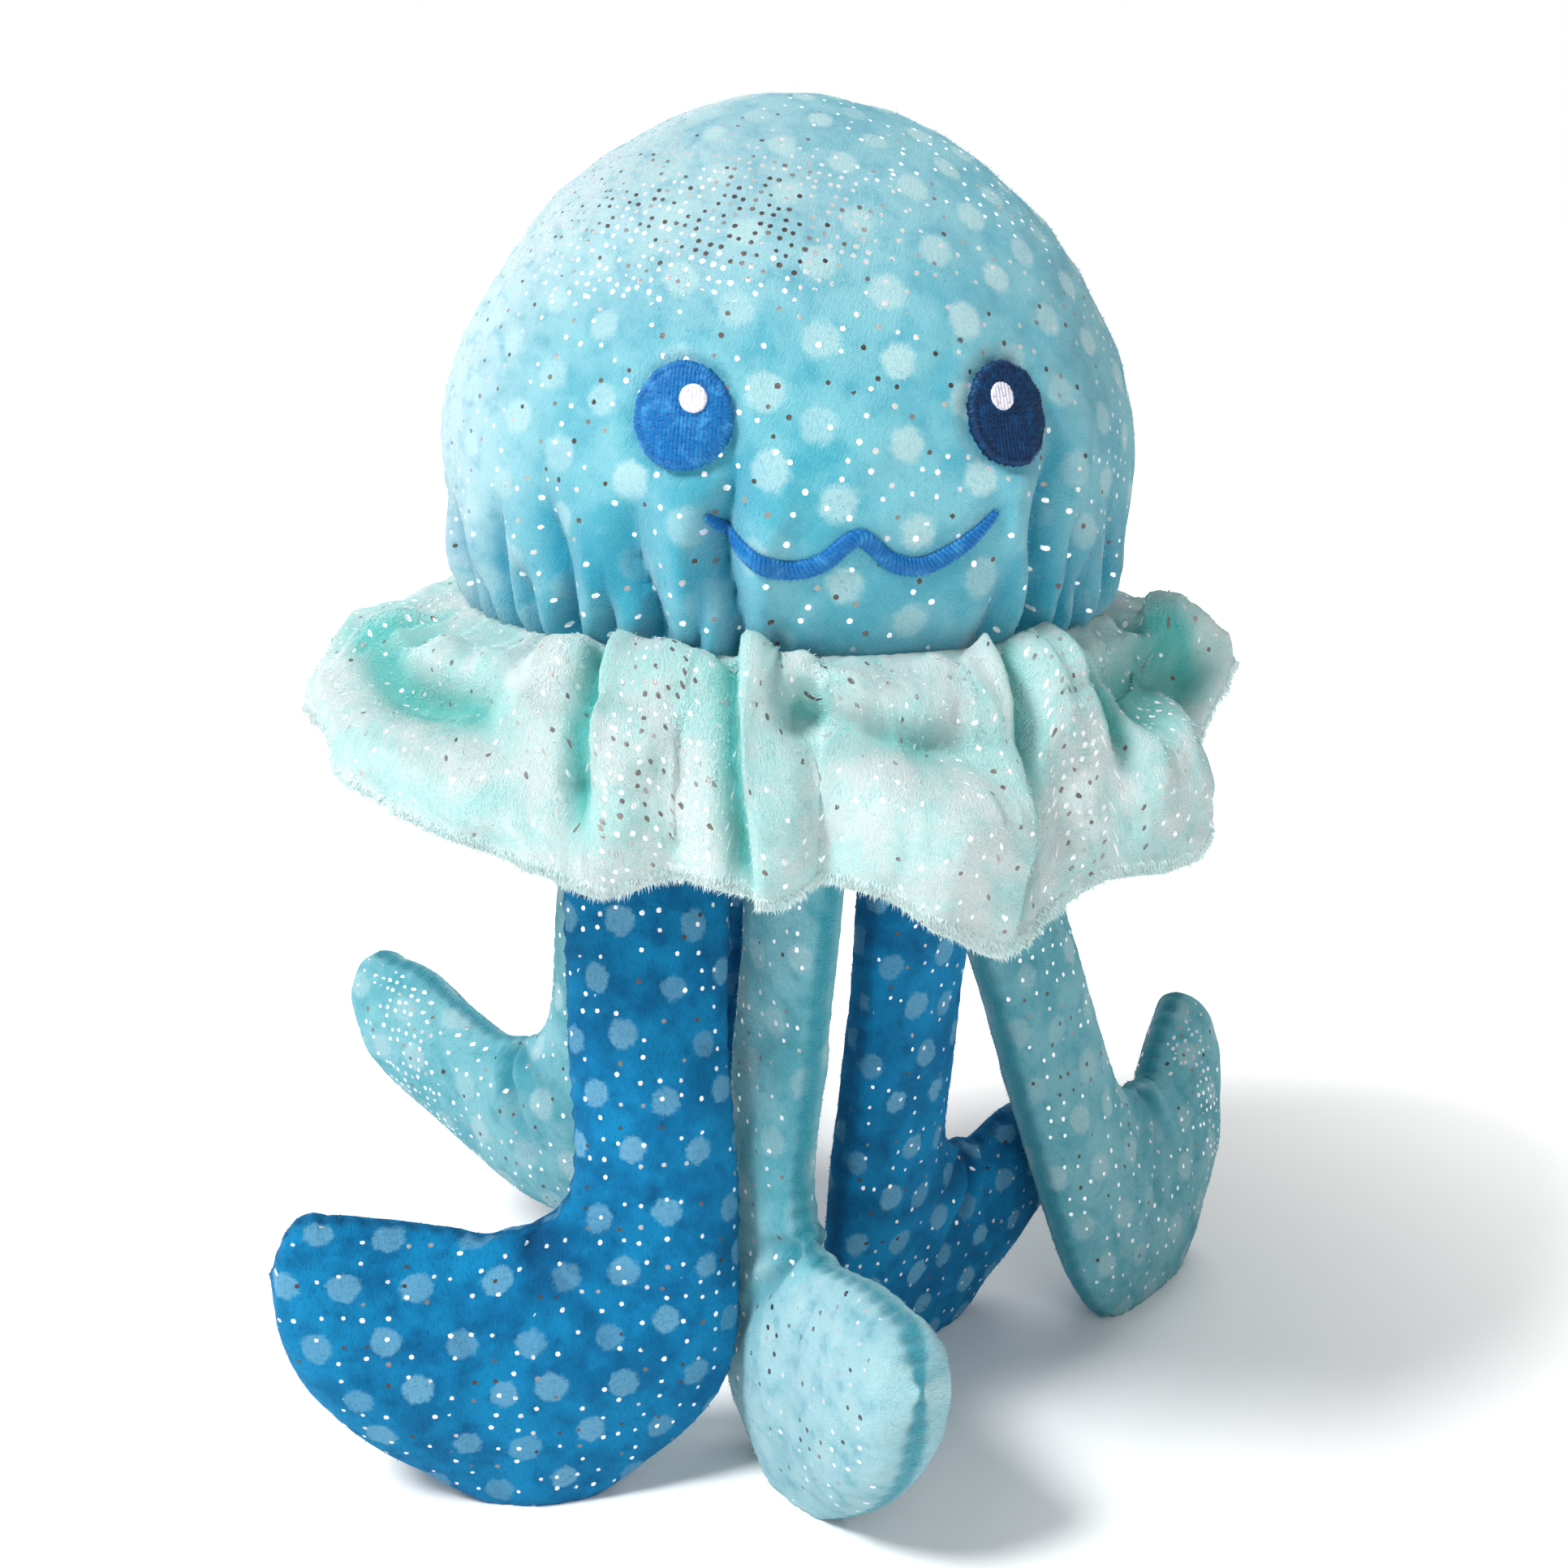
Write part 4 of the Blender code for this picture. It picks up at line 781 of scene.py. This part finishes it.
def build_pile(knots, run, _):
    """The longer pile of the ruffle: short tufts lying down its face, and long ones that stand past the hem."""
    rng = np.random.RandomState(5)
    groups = [(21000, 0.03, 0.95, 1.15, 0.30, 0.30), (16000, 0.95, 1.0, 1.7, 0.30, 0.75)]
    verts, tris, pats, painted_shades, denses, painted_highlights = [], [], [], [], [], []
    base = 0
    for count, t_lo, t_hi, long, width, out in groups:
        a = rng.uniform(-180, 180, count)
        t = rng.uniform(t_lo, t_hi, count)
        p, n, painted_shade = ruffle_skin(a, t)
        t0, t1 = np.maximum(t - 0.02, 0), np.minimum(t + 0.02, 1)
        down = ruffle_skin(a, t1, False)[0] - ruffle_skin(a, t0, False)[0]
        down /= np.maximum(np.linalg.norm(down, axis=-1, keepdims=True), 1e-9)
        clump = 0.55 * np.stack([waves(p[:, 0], p[:, 1], p[:, 2], 7, s) for s in (21, 22, 23)], -1)
        way = down + n * out + clump * 0.6 + rng.normal(0, 0.24, (count, 3))
        way /= np.linalg.norm(way, axis=-1, keepdims=True)
        size = long * rng.uniform(0.6, 1.25, count)
        side = np.cross(way, n)
        side /= np.maximum(np.linalg.norm(side, axis=-1, keepdims=True), 1e-9)
        up = np.cross(side, way)
        root = p - n * 0.25
        w = width * rng.uniform(0.7, 1.3, count)
        corner = [root + side * (w * c)[:, None] * 0.5 + up * (w * s)[:, None] * 0.5 for c, s in ((0, 1), (-0.87, -0.5), (0.87, -0.5))]
        tip = root + way * size[:, None]
        verts.append(np.stack([*corner, tip], 1).reshape(-1, 3))
        i = base + 4 * np.arange(count)[:, None]
        tris.append(np.concatenate([i + np.array([[0, 1, 3]]), i + np.array([[1, 2, 3]]), i + np.array([[2, 0, 3]]), i + np.array([[0, 2, 1]])]))
        uv = np.stack([np.interp(a, knots, run), 58.0 * t], -1)
        pats.append(np.tile(uv[:, None, :], (4, 3, 1)))
        painted_shades.append(np.repeat(np.clip(painted_shade * (0.8 if t_hi < 1 else 0.0) + 0.1 * rng.uniform(-1, 1, count), 0, 1), 4))
        denses.append(np.full(4 * count, -2.0))
        # painted highlight on the hem tufts, and a little on the others
        painted_highlights.append(np.repeat(ease(t, 0.88, 0.99) if t_hi == 1.0 else 0.25 + 0 * t, 4))
        base += 4 * count
    obj = make_piece("ruffle_pile", np.concatenate(verts), [np.concatenate(tris)], MINT, [np.concatenate(pats)], {"painted_shade": np.concatenate(painted_shades), "dense": np.concatenate(denses), "painted_highlight": np.concatenate(painted_highlights)})
    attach(obj, "root")
    return obj


# ---- arms ------------------------------------------------------------------------------------------------------------
ARMS = [
    # name, colour, top az, top r, ankle az, ankle r, ankle z, foot az, pitch, w top, w ankle, length, under, over, toe, curl, leg t, foot t
    ("front_left", "blue", -60.0, 37.0, -44.6, 49.0, 31.0, -94.0, 16.0, 18.5, 17.0, 82.0, 33.0, 22.5, 24.0, 2.0, 8.4, 10.5),
    ("front_middle", "aqua", 0.0, 33.5, -22.0, 22.0, 28.0, 18.0, 16.0, 17.0, 14.5, 72.0, 30.5, 24.0, 22.0, 4.0, 7.6, 11.0),
    ("front_right", "blue", 55.0, 35.0, 100.0, 25.5, 21.5, 129.0, 18.0, 18.0, 17.0, 71.0, 24.0, 21.0, 16.0, 3.0, 8.6, 9.0),
    ("back_right", "aqua", 118.0, 36.0, 104.5, 93.5, 17.8, 134.0, 30.0, 18.5, 18.0, 70.0, 24.0, 20.0, 15.0, 13.0, 8.6, 9.5),
    ("back_middle", "blue", 160.0, 36.0, -168.0, 75.0, 22.0, -179.0, 18.0, 18.0, 16.0, 76.0, 24.0, 22.0, 17.0, 6.0, 8.6, 10.0),
    ("back_left", "aqua", -120.0, 34.0, -124.0, 52.0, 46.0, -140.0, 16.0, 17.5, 14.5, 84.0, 14.0, 20.0, 15.0, 8.0, 8.6, 9.5),
]


def arm_frame(arm):
    (_, _, top_az, top_r, ank_az, ank_r, ank_z, foot_az, pitch, w_top, w_ank, length, under, over, toe, curl, leg_t, foot_t) = arm
    top = np.array([*polar(top_az, top_r), LEG_TOP_Z])
    ankle = np.array([*polar(ank_az, ank_r), ank_z])
    forward = np.array([*polar(foot_az, 1.0), 0.0])
    leg = np.linalg.norm(top - ankle)
    up = (top - ankle) / leg
    normal = np.cross(up, forward)
    normal /= np.linalg.norm(normal)
    z_axis = up - forward * up.dot(forward)
    z_axis /= np.linalg.norm(z_axis)
    lean = math.atan2(up.dot(forward), up.dot(z_axis))
    lx, lz, nx, nz = math.sin(lean), math.cos(lean), math.cos(lean), -math.sin(lean)
    p = math.radians(pitch)
    fa, fb = (math.cos(p), math.sin(p)), (-math.sin(p), math.cos(p))

    def on_leg(along, across):
        return (lx * along + nx * across, lz * along + nz * across)

    def on_foot(along, across):
        return (fa[0] * along + fb[0] * across, fa[1] * along + fb[1] * across)

    inner = [
        (lx * leg + w_top, lz * leg), on_leg(leg * 0.74, w_top * 0.55 + w_ank * 0.45), on_leg(leg * 0.48, w_ank), on_leg(over + leg * 0.12, w_ank),
        on_foot(w_ank * 1.9 + over * 0.32, over * 1.02), on_foot(length * 0.60, over * 0.98), on_foot(length * 0.78, over * 0.86 + curl * 0.5),
        on_foot(length * 0.93, toe * 0.62 + curl), on_foot(length, toe * 0.05 + curl),
    ]
    outer = [
        (lx * leg - w_top, lz * leg), on_leg(leg * 0.74, -w_top * 0.6 - w_ank * 0.45), on_leg(leg * 0.48, -w_ank * 1.06), on_leg(over + leg * 0.07, -w_ank * 1.2),
        on_foot(-w_ank * 0.98, -under * 0.02), on_foot(w_ank * 0.55, -under * 0.97), on_foot(length * 0.52, -under * 0.96),
        on_foot(length * 0.83, -toe * 0.82 + curl * 0.3), on_foot(length, toe * 0.05 + curl),
    ]
    return np.array(inner), np.array(outer), ankle, forward, z_axis, normal, leg_t, foot_t


def build_arm(arm, number):
    inner, outer, origin, x_axis, z_axis, normal, leg_t, foot_t = arm_frame(arm)
    rows, half_cols = 170, 44
    g = np.linspace(0, 1, rows)
    u = 8 * (1 - (1 - g) ** 1.25) * 0.999
    s = np.linspace(0, 1, half_cols + 1)
    t_one = -np.cos(np.pi * s) * 0.55 + (2 * s - 1) * 0.45  # closer together at the two edges
    t = np.concatenate([t_one[:-1], t_one[::-1][:-1]])
    side = np.concatenate([np.ones(half_cols), -np.ones(half_cols)])
    side[0] = side[half_cols] = 0
    cols = len(t)
    a, b = catmull(inner, u), catmull(outer, u)
    c, h = (a + b) / 2, (b - a) / 2
    # the toe ends in a blunt round
    at = 6.75
    a0, b0 = catmull(inner, np.array([at]))[0], catmull(outer, np.array([at]))[0]
    c0, h0 = (a0 + b0) / 2, (b0 - a0) / 2
    phi = np.clip((u - at) / (8 - at), 0, 1)
    phi = (1 - (1 - phi) ** 1.5) * np.pi / 2
    tail = (u > at)[:, None]
    c = np.where(tail, 0.5 * c + 0.5 * (c0 + (inner[-1] - c0) * np.sin(phi)[:, None]), c)
    h = np.where(tail, 0.5 * h + 0.5 * h0 * np.cos(phi)[:, None] ** 0.9, h)
    a, b = c - h, c + h
    half = np.hypot(h[:, 0], h[:, 1])
    end = np.minimum(1, (8 - u) / 1.7)
    round_off = np.sqrt(np.maximum(0, 1 - (1 - end) ** 2))
    thick = leg_t + (foot_t - leg_t) * np.clip((u - 3.0) / 1.6, 0, 1)
    thick = np.minimum(thick, half * 0.95 + 0.6) * round_off
    # it is sewn flat into the seam at its top
    thick = thick * (0.55 + 0.45 * ease(u, 0.0, 0.9))
    T = np.broadcast_to(t, (rows, cols))
    plane = c[:, None, :] + h[:, None, :] * T[..., None]
    edge_mm = (1 - np.abs(T)) * half[:, None]
    bulge = thick[:, None] * np.maximum(0, 1 - np.abs(T) ** 2.2) ** 0.58
    S = np.broadcast_to(side, (rows, cols))
    # arc length down each edge, for the puckers of the seam
    run_a = np.concatenate([[0], np.cumsum(np.linalg.norm(np.diff(a, axis=0), axis=1))])
    run_b = np.concatenate([[0], np.cumsum(np.linalg.norm(np.diff(b, axis=0), axis=1))])
    run = np.where(T < 0, run_a[:, None], run_b[:, None])
    px, pz = plane[..., 0], plane[..., 1]
    away = np.minimum(edge_mm, 30)
    lumps = 0.5 * waves(px, pz, 20 * S, 26, 40 + number) + 0.22 * waves(px, pz, 20 * S, 9, 60 + number)
    phase = 2 * np.pi * run / 4.4 + 1.2 * np.sin(run / 7.0 + number)
    pucker = 0.24 * np.sin(phase) * np.exp(-away / 3.2) * ease(away, 0.0, 0.8)
    out = lumps * ease(away, 0.5, 7.0) + pucker
    # painted shade along both seams and their puckers, deeper on the aqua arms
    painted_shade = (0.95 if arm[1] == "aqua" else 0.6) * np.exp(-((away / 0.8) ** 2)) + 0.07 * np.exp(-away / 4.0) * (1 + np.sin(phase))
    # creases fan out from the inside of the ankle, with painted shade in them
    corner = catmull(inner, np.array([3.65]))[0]
    toward = catmull(outer, np.array([4.0]))[0] - corner
    base = math.atan2(toward[1], toward[0])
    rho = np.hypot(px - corner[0], pz - corner[1])
    ang = np.arctan2(pz - corner[1], px - corner[0])
    for k, (turn_by, depth, reach) in enumerate(((0.50, 1.1, 20), (0.12, 1.9, 30), (-0.28, 1.5, 24), (-0.72, 0.9, 16))):
        turn_by += 0.12 * S * math.sin(3.1 * k + number)
        d = (ang - base - turn_by + np.pi) % (2 * np.pi) - np.pi
        line = bell(d * rho, 1.5 + 0.06 * rho) * np.exp(-((rho / reach) ** 2)) * ease(rho, 0.5, 4.0)
        out = out - depth * line + 0.35 * depth * bell(np.abs(d * rho) - 3.4, 1.7) * np.exp(-((rho / reach) ** 2)) * ease(rho, 0.5, 4.0)
        painted_shade = painted_shade + 0.55 * line
    # shallow creases across the outside of the heel and down the leg, with painted shade in them
    for at, depth, w in ((1.1, 0.5, 0.10), (2.0, 0.45, 0.08), (5.3, 0.5, 0.10)):
        line = bell(u[:, None] - at - 0.12 * np.sin(3 * T + number), w) * ease(away, 1.0, 7.0)
        out = out - depth * line
        painted_shade = painted_shade + 0.12 * line
    lift = bulge + out * ease(bulge, 0.0, 2.0)
    lift = np.where(S == 0, 0.0, np.maximum(lift, 0.05))
    # the seam itself is pulled in a little
    pull = 1.0 * np.exp(-((edge_mm / 0.9) ** 2)) * (1 + 0.45 * np.sin(phase))
    shrink = 1 - np.minimum(pull / np.maximum(half[:, None], 1.0), 0.5)
    plane = c[:, None, :] + h[:, None, :] * (T * shrink)[..., None]
    P = origin + plane[..., :1] * x_axis + plane[..., 1:] * z_axis + normal * (S * lift)[..., None]
    up = P[..., 2] - FLOOR_Z
    P[..., 2] = np.where(up >= 8.0, P[..., 2], FLOOR_Z + np.maximum(0.0, up - 1.8) * 8.0 / 6.2)
    P[..., 2] = np.minimum(P[..., 2], LEG_TOP_Z + 0.5)
    flat = P.reshape(-1, 3)
    faces, corners = grid(rows, cols)
    # cloth coordinates: each panel is cut flat, the far one beside the near one
    way = h / np.maximum(np.linalg.norm(h, axis=1, keepdims=True), 1e-6)
    flat_t, flat_sign = np.abs(T) * half[:, None], np.sign(T)
    bent = np.where(thick[:, None] > 0.1, flat_t + flat_sign * 0 + 0.5 * thick[:, None] * np.abs(T) ** 3, flat_t)
    laid = c[:, None, :] + way[:, None, :] * (flat_sign * bent)[..., None]
    px, pz = laid[..., 0], laid[..., 1]
    uv = np.concatenate([np.stack([px, pz], -1), np.stack([px, pz], -1)[:, :1]], 1).reshape(-1, 2)
    pat = uv[corners].copy()
    far = np.tile(np.arange(cols) >= half_cols, rows - 1)
    pat[far] += (370.0, 140.0)
    pat += (137.0 * number, 61.0 * number)
    n = len(flat)
    flat = np.vstack([flat, P[0].mean(0), P[-1].mean(0)])
    f0, f1 = fan(np.arange(cols), n, True), fan(np.arange((rows - 1) * cols, rows * cols), n + 1)
    fuv = np.vstack([np.stack([px, pz], -1).reshape(-1, 2), c[0], c[-1]]) + (137.0 * number, 61.0 * number)
    dense = 0.0 * T
    if arm[0] in ("back_left", "back_right"):
        dense = 0.42 * bell(u[:, None] - 6.0, 0.9) + 0 * T
    dense = np.where((edge_mm < 1.5) | (u[:, None] > (7.0 if arm[0] == "front_middle" else 7.65)), -2.0, dense)
    # painted highlight on the front arm's foot, where the light falls
    painted_highlight = 0.0 * T
    if arm[0] == "front_middle":
        painted_highlight = 0.5 * ease(u, 3.9, 5.0)[:, None] + 0.0 * T
    order = 1 if np.cross(x_axis, z_axis).dot(normal) > 0 else -1
    sets = [faces, f0, f1] if order > 0 else [faces[:, ::-1], f0[:, ::-1], f1[:, ::-1]]
    pats = [pat, fuv[f0], fuv[f1]] if order > 0 else [pat[:, ::-1], fuv[f0][:, ::-1], fuv[f1][:, ::-1]]
    obj = make_piece("arm_%s_plush" % arm[0], flat, sets, BLUE if arm[1] == "blue" else AQUA_ARM, pats,
                     {"painted_shade": np.concatenate([np.clip(painted_shade, 0, 1).ravel(), [0.5, 0.2]]), "dense": np.concatenate([dense.ravel(), [0, 0]]), "painted_highlight": np.concatenate([painted_highlight.ravel(), [0, 0]])})
    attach(obj, "root")
    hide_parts("arm_%s_left_panel" % arm[0], "arm_%s_right_panel" % arm[0], "arm_%s_stuffing" % arm[0])
    return obj


def build_pile_on(obj, name, mat, count, long, width, seed, flow):
    """Short pile on a closed plush body: thin tufts rooted in its skin, lying towards flow and standing out a little."""
    rng = np.random.RandomState(seed)
    mesh = obj.data
    mesh.calc_loop_triangles()
    tri = np.array([t.vertices for t in mesh.loop_triangles])
    loops = np.array([t.loops for t in mesh.loop_triangles])
    co = np.array([v.co for v in mesh.vertices])
    uvs = np.empty(2 * len(mesh.loops), np.float32)
    mesh.uv_layers["pattern"].data.foreach_get("uv", uvs)
    uvs = uvs.reshape(-1, 2)
    value = {}
    for key in ("painted_shade", "painted_highlight"):
        data = np.empty(len(co), np.float32)
        mesh.attributes[key].data.foreach_get("value", data)
        value[key] = data
    cross = np.cross(co[tri[:, 1]] - co[tri[:, 0]], co[tri[:, 2]] - co[tri[:, 0]])
    area = np.linalg.norm(cross, axis=1)
    pick = rng.choice(len(tri), count, p=area / area.sum())
    w = rng.dirichlet((1, 1, 1), count)
    p = np.einsum("ij,ijk->ik", w, co[tri[pick]]) * 1000
    uv = np.einsum("ij,ijk->ik", w, uvs[loops[pick]])
    n = cross[pick] / area[pick][:, None]
    painted_shade = (w * value["painted_shade"][tri[pick]]).sum(1)
    painted_highlight = (w * value["painted_highlight"][tri[pick]]).sum(1)
    lie = np.asarray(flow, float) - n * n.dot(np.asarray(flow, float))[:, None]
    clump = np.stack([waves(p[:, 0], p[:, 1], p[:, 2], 9, seed + s) for s in (1, 2, 3)], -1)
    way = n * 0.8 + lie * 0.75 + 0.3 * clump + rng.normal(0, 0.2, (count, 3))
    way /= np.linalg.norm(way, axis=1, keepdims=True)
    side = np.cross(way, n)
    side /= np.maximum(np.linalg.norm(side, axis=1, keepdims=True), 1e-9)
    up = np.cross(side, way)
    size = long * rng.uniform(0.55, 1.2, count)
    wide = width * rng.uniform(0.7, 1.3, count)
    root = p - n * 0.15
    corner = [root + side * (wide * c)[:, None] * 0.5 + up * (wide * s)[:, None] * 0.5 for c, s in ((0, 1), (-0.87, -0.5), (0.87, -0.5))]
    verts = np.stack([*corner, root + way * size[:, None]], 1).reshape(-1, 3)
    floor_z = 0.02
    verts[:, 2] = np.maximum(verts[:, 2], floor_z)
    keep = verts.reshape(-1, 4, 3)[:, :, 2].min(1) > floor_z + 0.05
    verts, uv, painted_shade, painted_highlight = verts.reshape(-1, 4, 3)[keep].reshape(-1, 3), uv[keep], painted_shade[keep], painted_highlight[keep]
    i = 4 * np.arange(keep.sum())[:, None]
    tris = np.concatenate([i + np.array([[0, 1, 3]]), i + np.array([[1, 2, 3]]), i + np.array([[2, 0, 3]]), i + np.array([[0, 2, 1]])])
    # the tufts carry the body's painted shade a little weaker and its painted highlight a little stronger
    made = make_piece(name, verts + 0.0, [tris], mat, [np.tile(uv[:, None, :], (4, 3, 1))],
                      {"painted_shade": np.repeat(np.clip(painted_shade * 0.9, 0, 1), 4), "dense": np.full(len(verts), -2.0), "painted_highlight": np.repeat(np.clip(painted_highlight + 0.12, 0, 1), 4)})
    made.data.transform(Matrix.Translation(Vector(-OFFSET)))
    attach(made, "root")
    return made


def turn_outward(obj):
    """Faces point out of the closed body."""
    co = np.array([v.co for v in obj.data.vertices])
    obj.data.calc_loop_triangles()
    tri = np.array([t.vertices for t in obj.data.loop_triangles])
    p = co[tri] - co.mean(0)
    if np.einsum("ij,ij->i", p[:, 0], np.cross(p[:, 1], p[:, 2])).sum() < 0:
        obj.data.flip_normals()


# ---- build -----------------------------------------------------------------------------------------------------------
pieces = [build_head()]
# the right eye takes the shaded copy of the blue thread, painted shade
for label, sign, mat in (("left", -1, BLUE_THREAD), ("right", 1, SHADED_BLUE_THREAD)):
    pieces.append(stitched_pad(label + "_eye_stitching", sign * EYE_AZ, EYE_Z, EYE_W, EYE_H, mat, label + "_eye_embroidery", -0.7, 0.75, 0.14, 38, 320))
    pieces.append(stitched_pad(label + "_eye_glint", sign * (EYE_AZ - 1.7), EYE_Z + 2.9, 2.55, 2.45, WHITE_THREAD, label + "_eye_highlight", 0.5, 1.25, 0.02, 16, 84))
pieces.append(build_mouth())
pieces += build_ruffle()
for number, arm in enumerate(ARMS):
    pieces.append(build_arm(arm, number))
for piece in pieces:
    turn_outward(piece)
build_pile_on(pieces[0], "head_pile", AQUA, 15000, 0.85, 0.2, 70, (0.1, 0.0, -1.0))
for number, (arm, piece) in enumerate(zip(ARMS, pieces[-len(ARMS):])):
    blue = arm[1] == "blue"
    build_pile_on(piece, "arm_%s_pile" % arm[0], BLUE if blue else AQUA_ARM, 6000, 0.85, 0.2, 80 + 5 * number, (0.0, 0.0, -1.0))
for node, mat in (("squeaker_bulb", VINYL), ("squeaker_reed", REED)):
    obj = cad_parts[node]
    obj.data.materials.clear()
    obj.data.materials.append(mat)

# ---- floor, lights, camera -------------------------------------------------------------------------------------------
floor = Net("pale_floor")
spots = floor.noise(floor.tree.nodes.new("ShaderNodeTexCoord").outputs["Object"], 3.0)
floor.set("Base Color", floor.mix(spots, (0.93, 0.93, 0.93, 1), (0.96, 0.96, 0.96, 1)))
floor.set("Roughness", 0.9)
# the floor glows: emission rises from faint by the toy to nearly white beyond about 0.4 m, a painted light that makes
# it read as a white backdrop and throws light up onto the toy
floor.shader.inputs["Emission Color"].default_value = (1.0, 1.0, 1.0, 1.0)
far_off = floor.vector("LENGTH", floor.tree.nodes.new("ShaderNodeTexCoord").outputs["Object"])
floor.set("Emission Strength", floor.step(far_off, 0.08, 0.40, 0.03, 0.78))
mesh = bpy.data.meshes.new("floor")
rims = [0.15, 0.4, 0.8, 1.5, 3.0, 6.0, 14.0]
verts = [(0.0, 0.0, 0.0)] + [(r * math.sin(a), r * math.cos(a), 0.0) for r in rims for a in np.linspace(0, 2 * math.pi, 65)[:-1]]
quads = [(1 + 64 * i + j, 1 + 64 * i + (j + 1) % 64, 65 + 64 * i + (j + 1) % 64, 65 + 64 * i + j) for i in range(len(rims) - 1) for j in range(64)]
mesh.from_pydata(verts, [], [(0, 1 + (j + 1) % 64, 1 + j) for j in range(64)] + quads)
mesh.materials.append(floor.mat)
backdrop = bpy.data.objects.new("floor", mesh)
bpy.context.scene.collection.objects.link(backdrop)

world = bpy.data.worlds.new("studio")
world.use_nodes = True
world.node_tree.nodes["Background"].inputs[0].default_value = (1.0, 1.0, 1.0, 1.0)
sky = world.node_tree.nodes["Background"]
seen = world.node_tree.nodes.new("ShaderNodeLightPath")
level = world.node_tree.nodes.new("ShaderNodeMapRange")
level.inputs[3].default_value, level.inputs[4].default_value = 0.26, 1.0
world.node_tree.links.new(seen.outputs["Is Camera Ray"], level.inputs[0])
world.node_tree.links.new(level.outputs[0], sky.inputs[1])
bpy.context.scene.world = world
bpy.context.scene.view_settings.view_transform = "Standard"


def area_light(name, place, target, size, power):
    data = bpy.data.lights.new(name, "AREA")
    data.shape, data.size, data.energy = "DISK", size, power
    obj = bpy.data.objects.new(name, data)
    obj.location = place
    obj.rotation_euler = (Vector(target) - Vector(place)).to_track_quat("-Z", "Y").to_euler()
    bpy.context.scene.collection.objects.link(obj)


area_light("key", (-1.12, -0.52, 1.50), (0, 0, 0.17), 0.5, 37.0)
area_light("fill", (0.1, -1.25, 0.95), (0, 0, 0.2), 0.9, 3.2)
area_light("rim", (0.6, 0.8, 1.1), (0, 0, 0.2), 0.7, 6.0)

AZ, PITCH, ROLL, DISTANCE, FOCAL_PX = math.radians(-10.0), math.radians(16.0), math.radians(0.6), 0.455, 2600.0
fwd = -Vector((math.sin(AZ) * math.cos(PITCH), -math.cos(AZ) * math.cos(PITCH), math.sin(PITCH)))
right = Vector((math.cos(AZ), math.sin(AZ), 0.0))
up = right.cross(fwd)
x_dir = right * math.cos(ROLL) + up * math.sin(ROLL)
y_dir = -right * math.sin(ROLL) + up * math.cos(ROLL)
target = Vector(to_row([0.0, 0.0, 150.0]))
data = bpy.data.cameras.new("camera")
data.sensor_fit, data.sensor_width = "HORIZONTAL", 36.0
data.lens = FOCAL_PX / 1932.0 * 36.0
data.clip_start, data.clip_end = 0.01, 20.0
camera = bpy.data.objects.new("camera", data)
place = target - fwd * DISTANCE
m = Matrix((x_dir, y_dir, -fwd)).transposed().to_4x4()
m.translation = place
camera.matrix_world = m
bpy.context.scene.collection.objects.link(camera)
bpy.context.scene.camera = camera

bpy.context.view_layer.update()
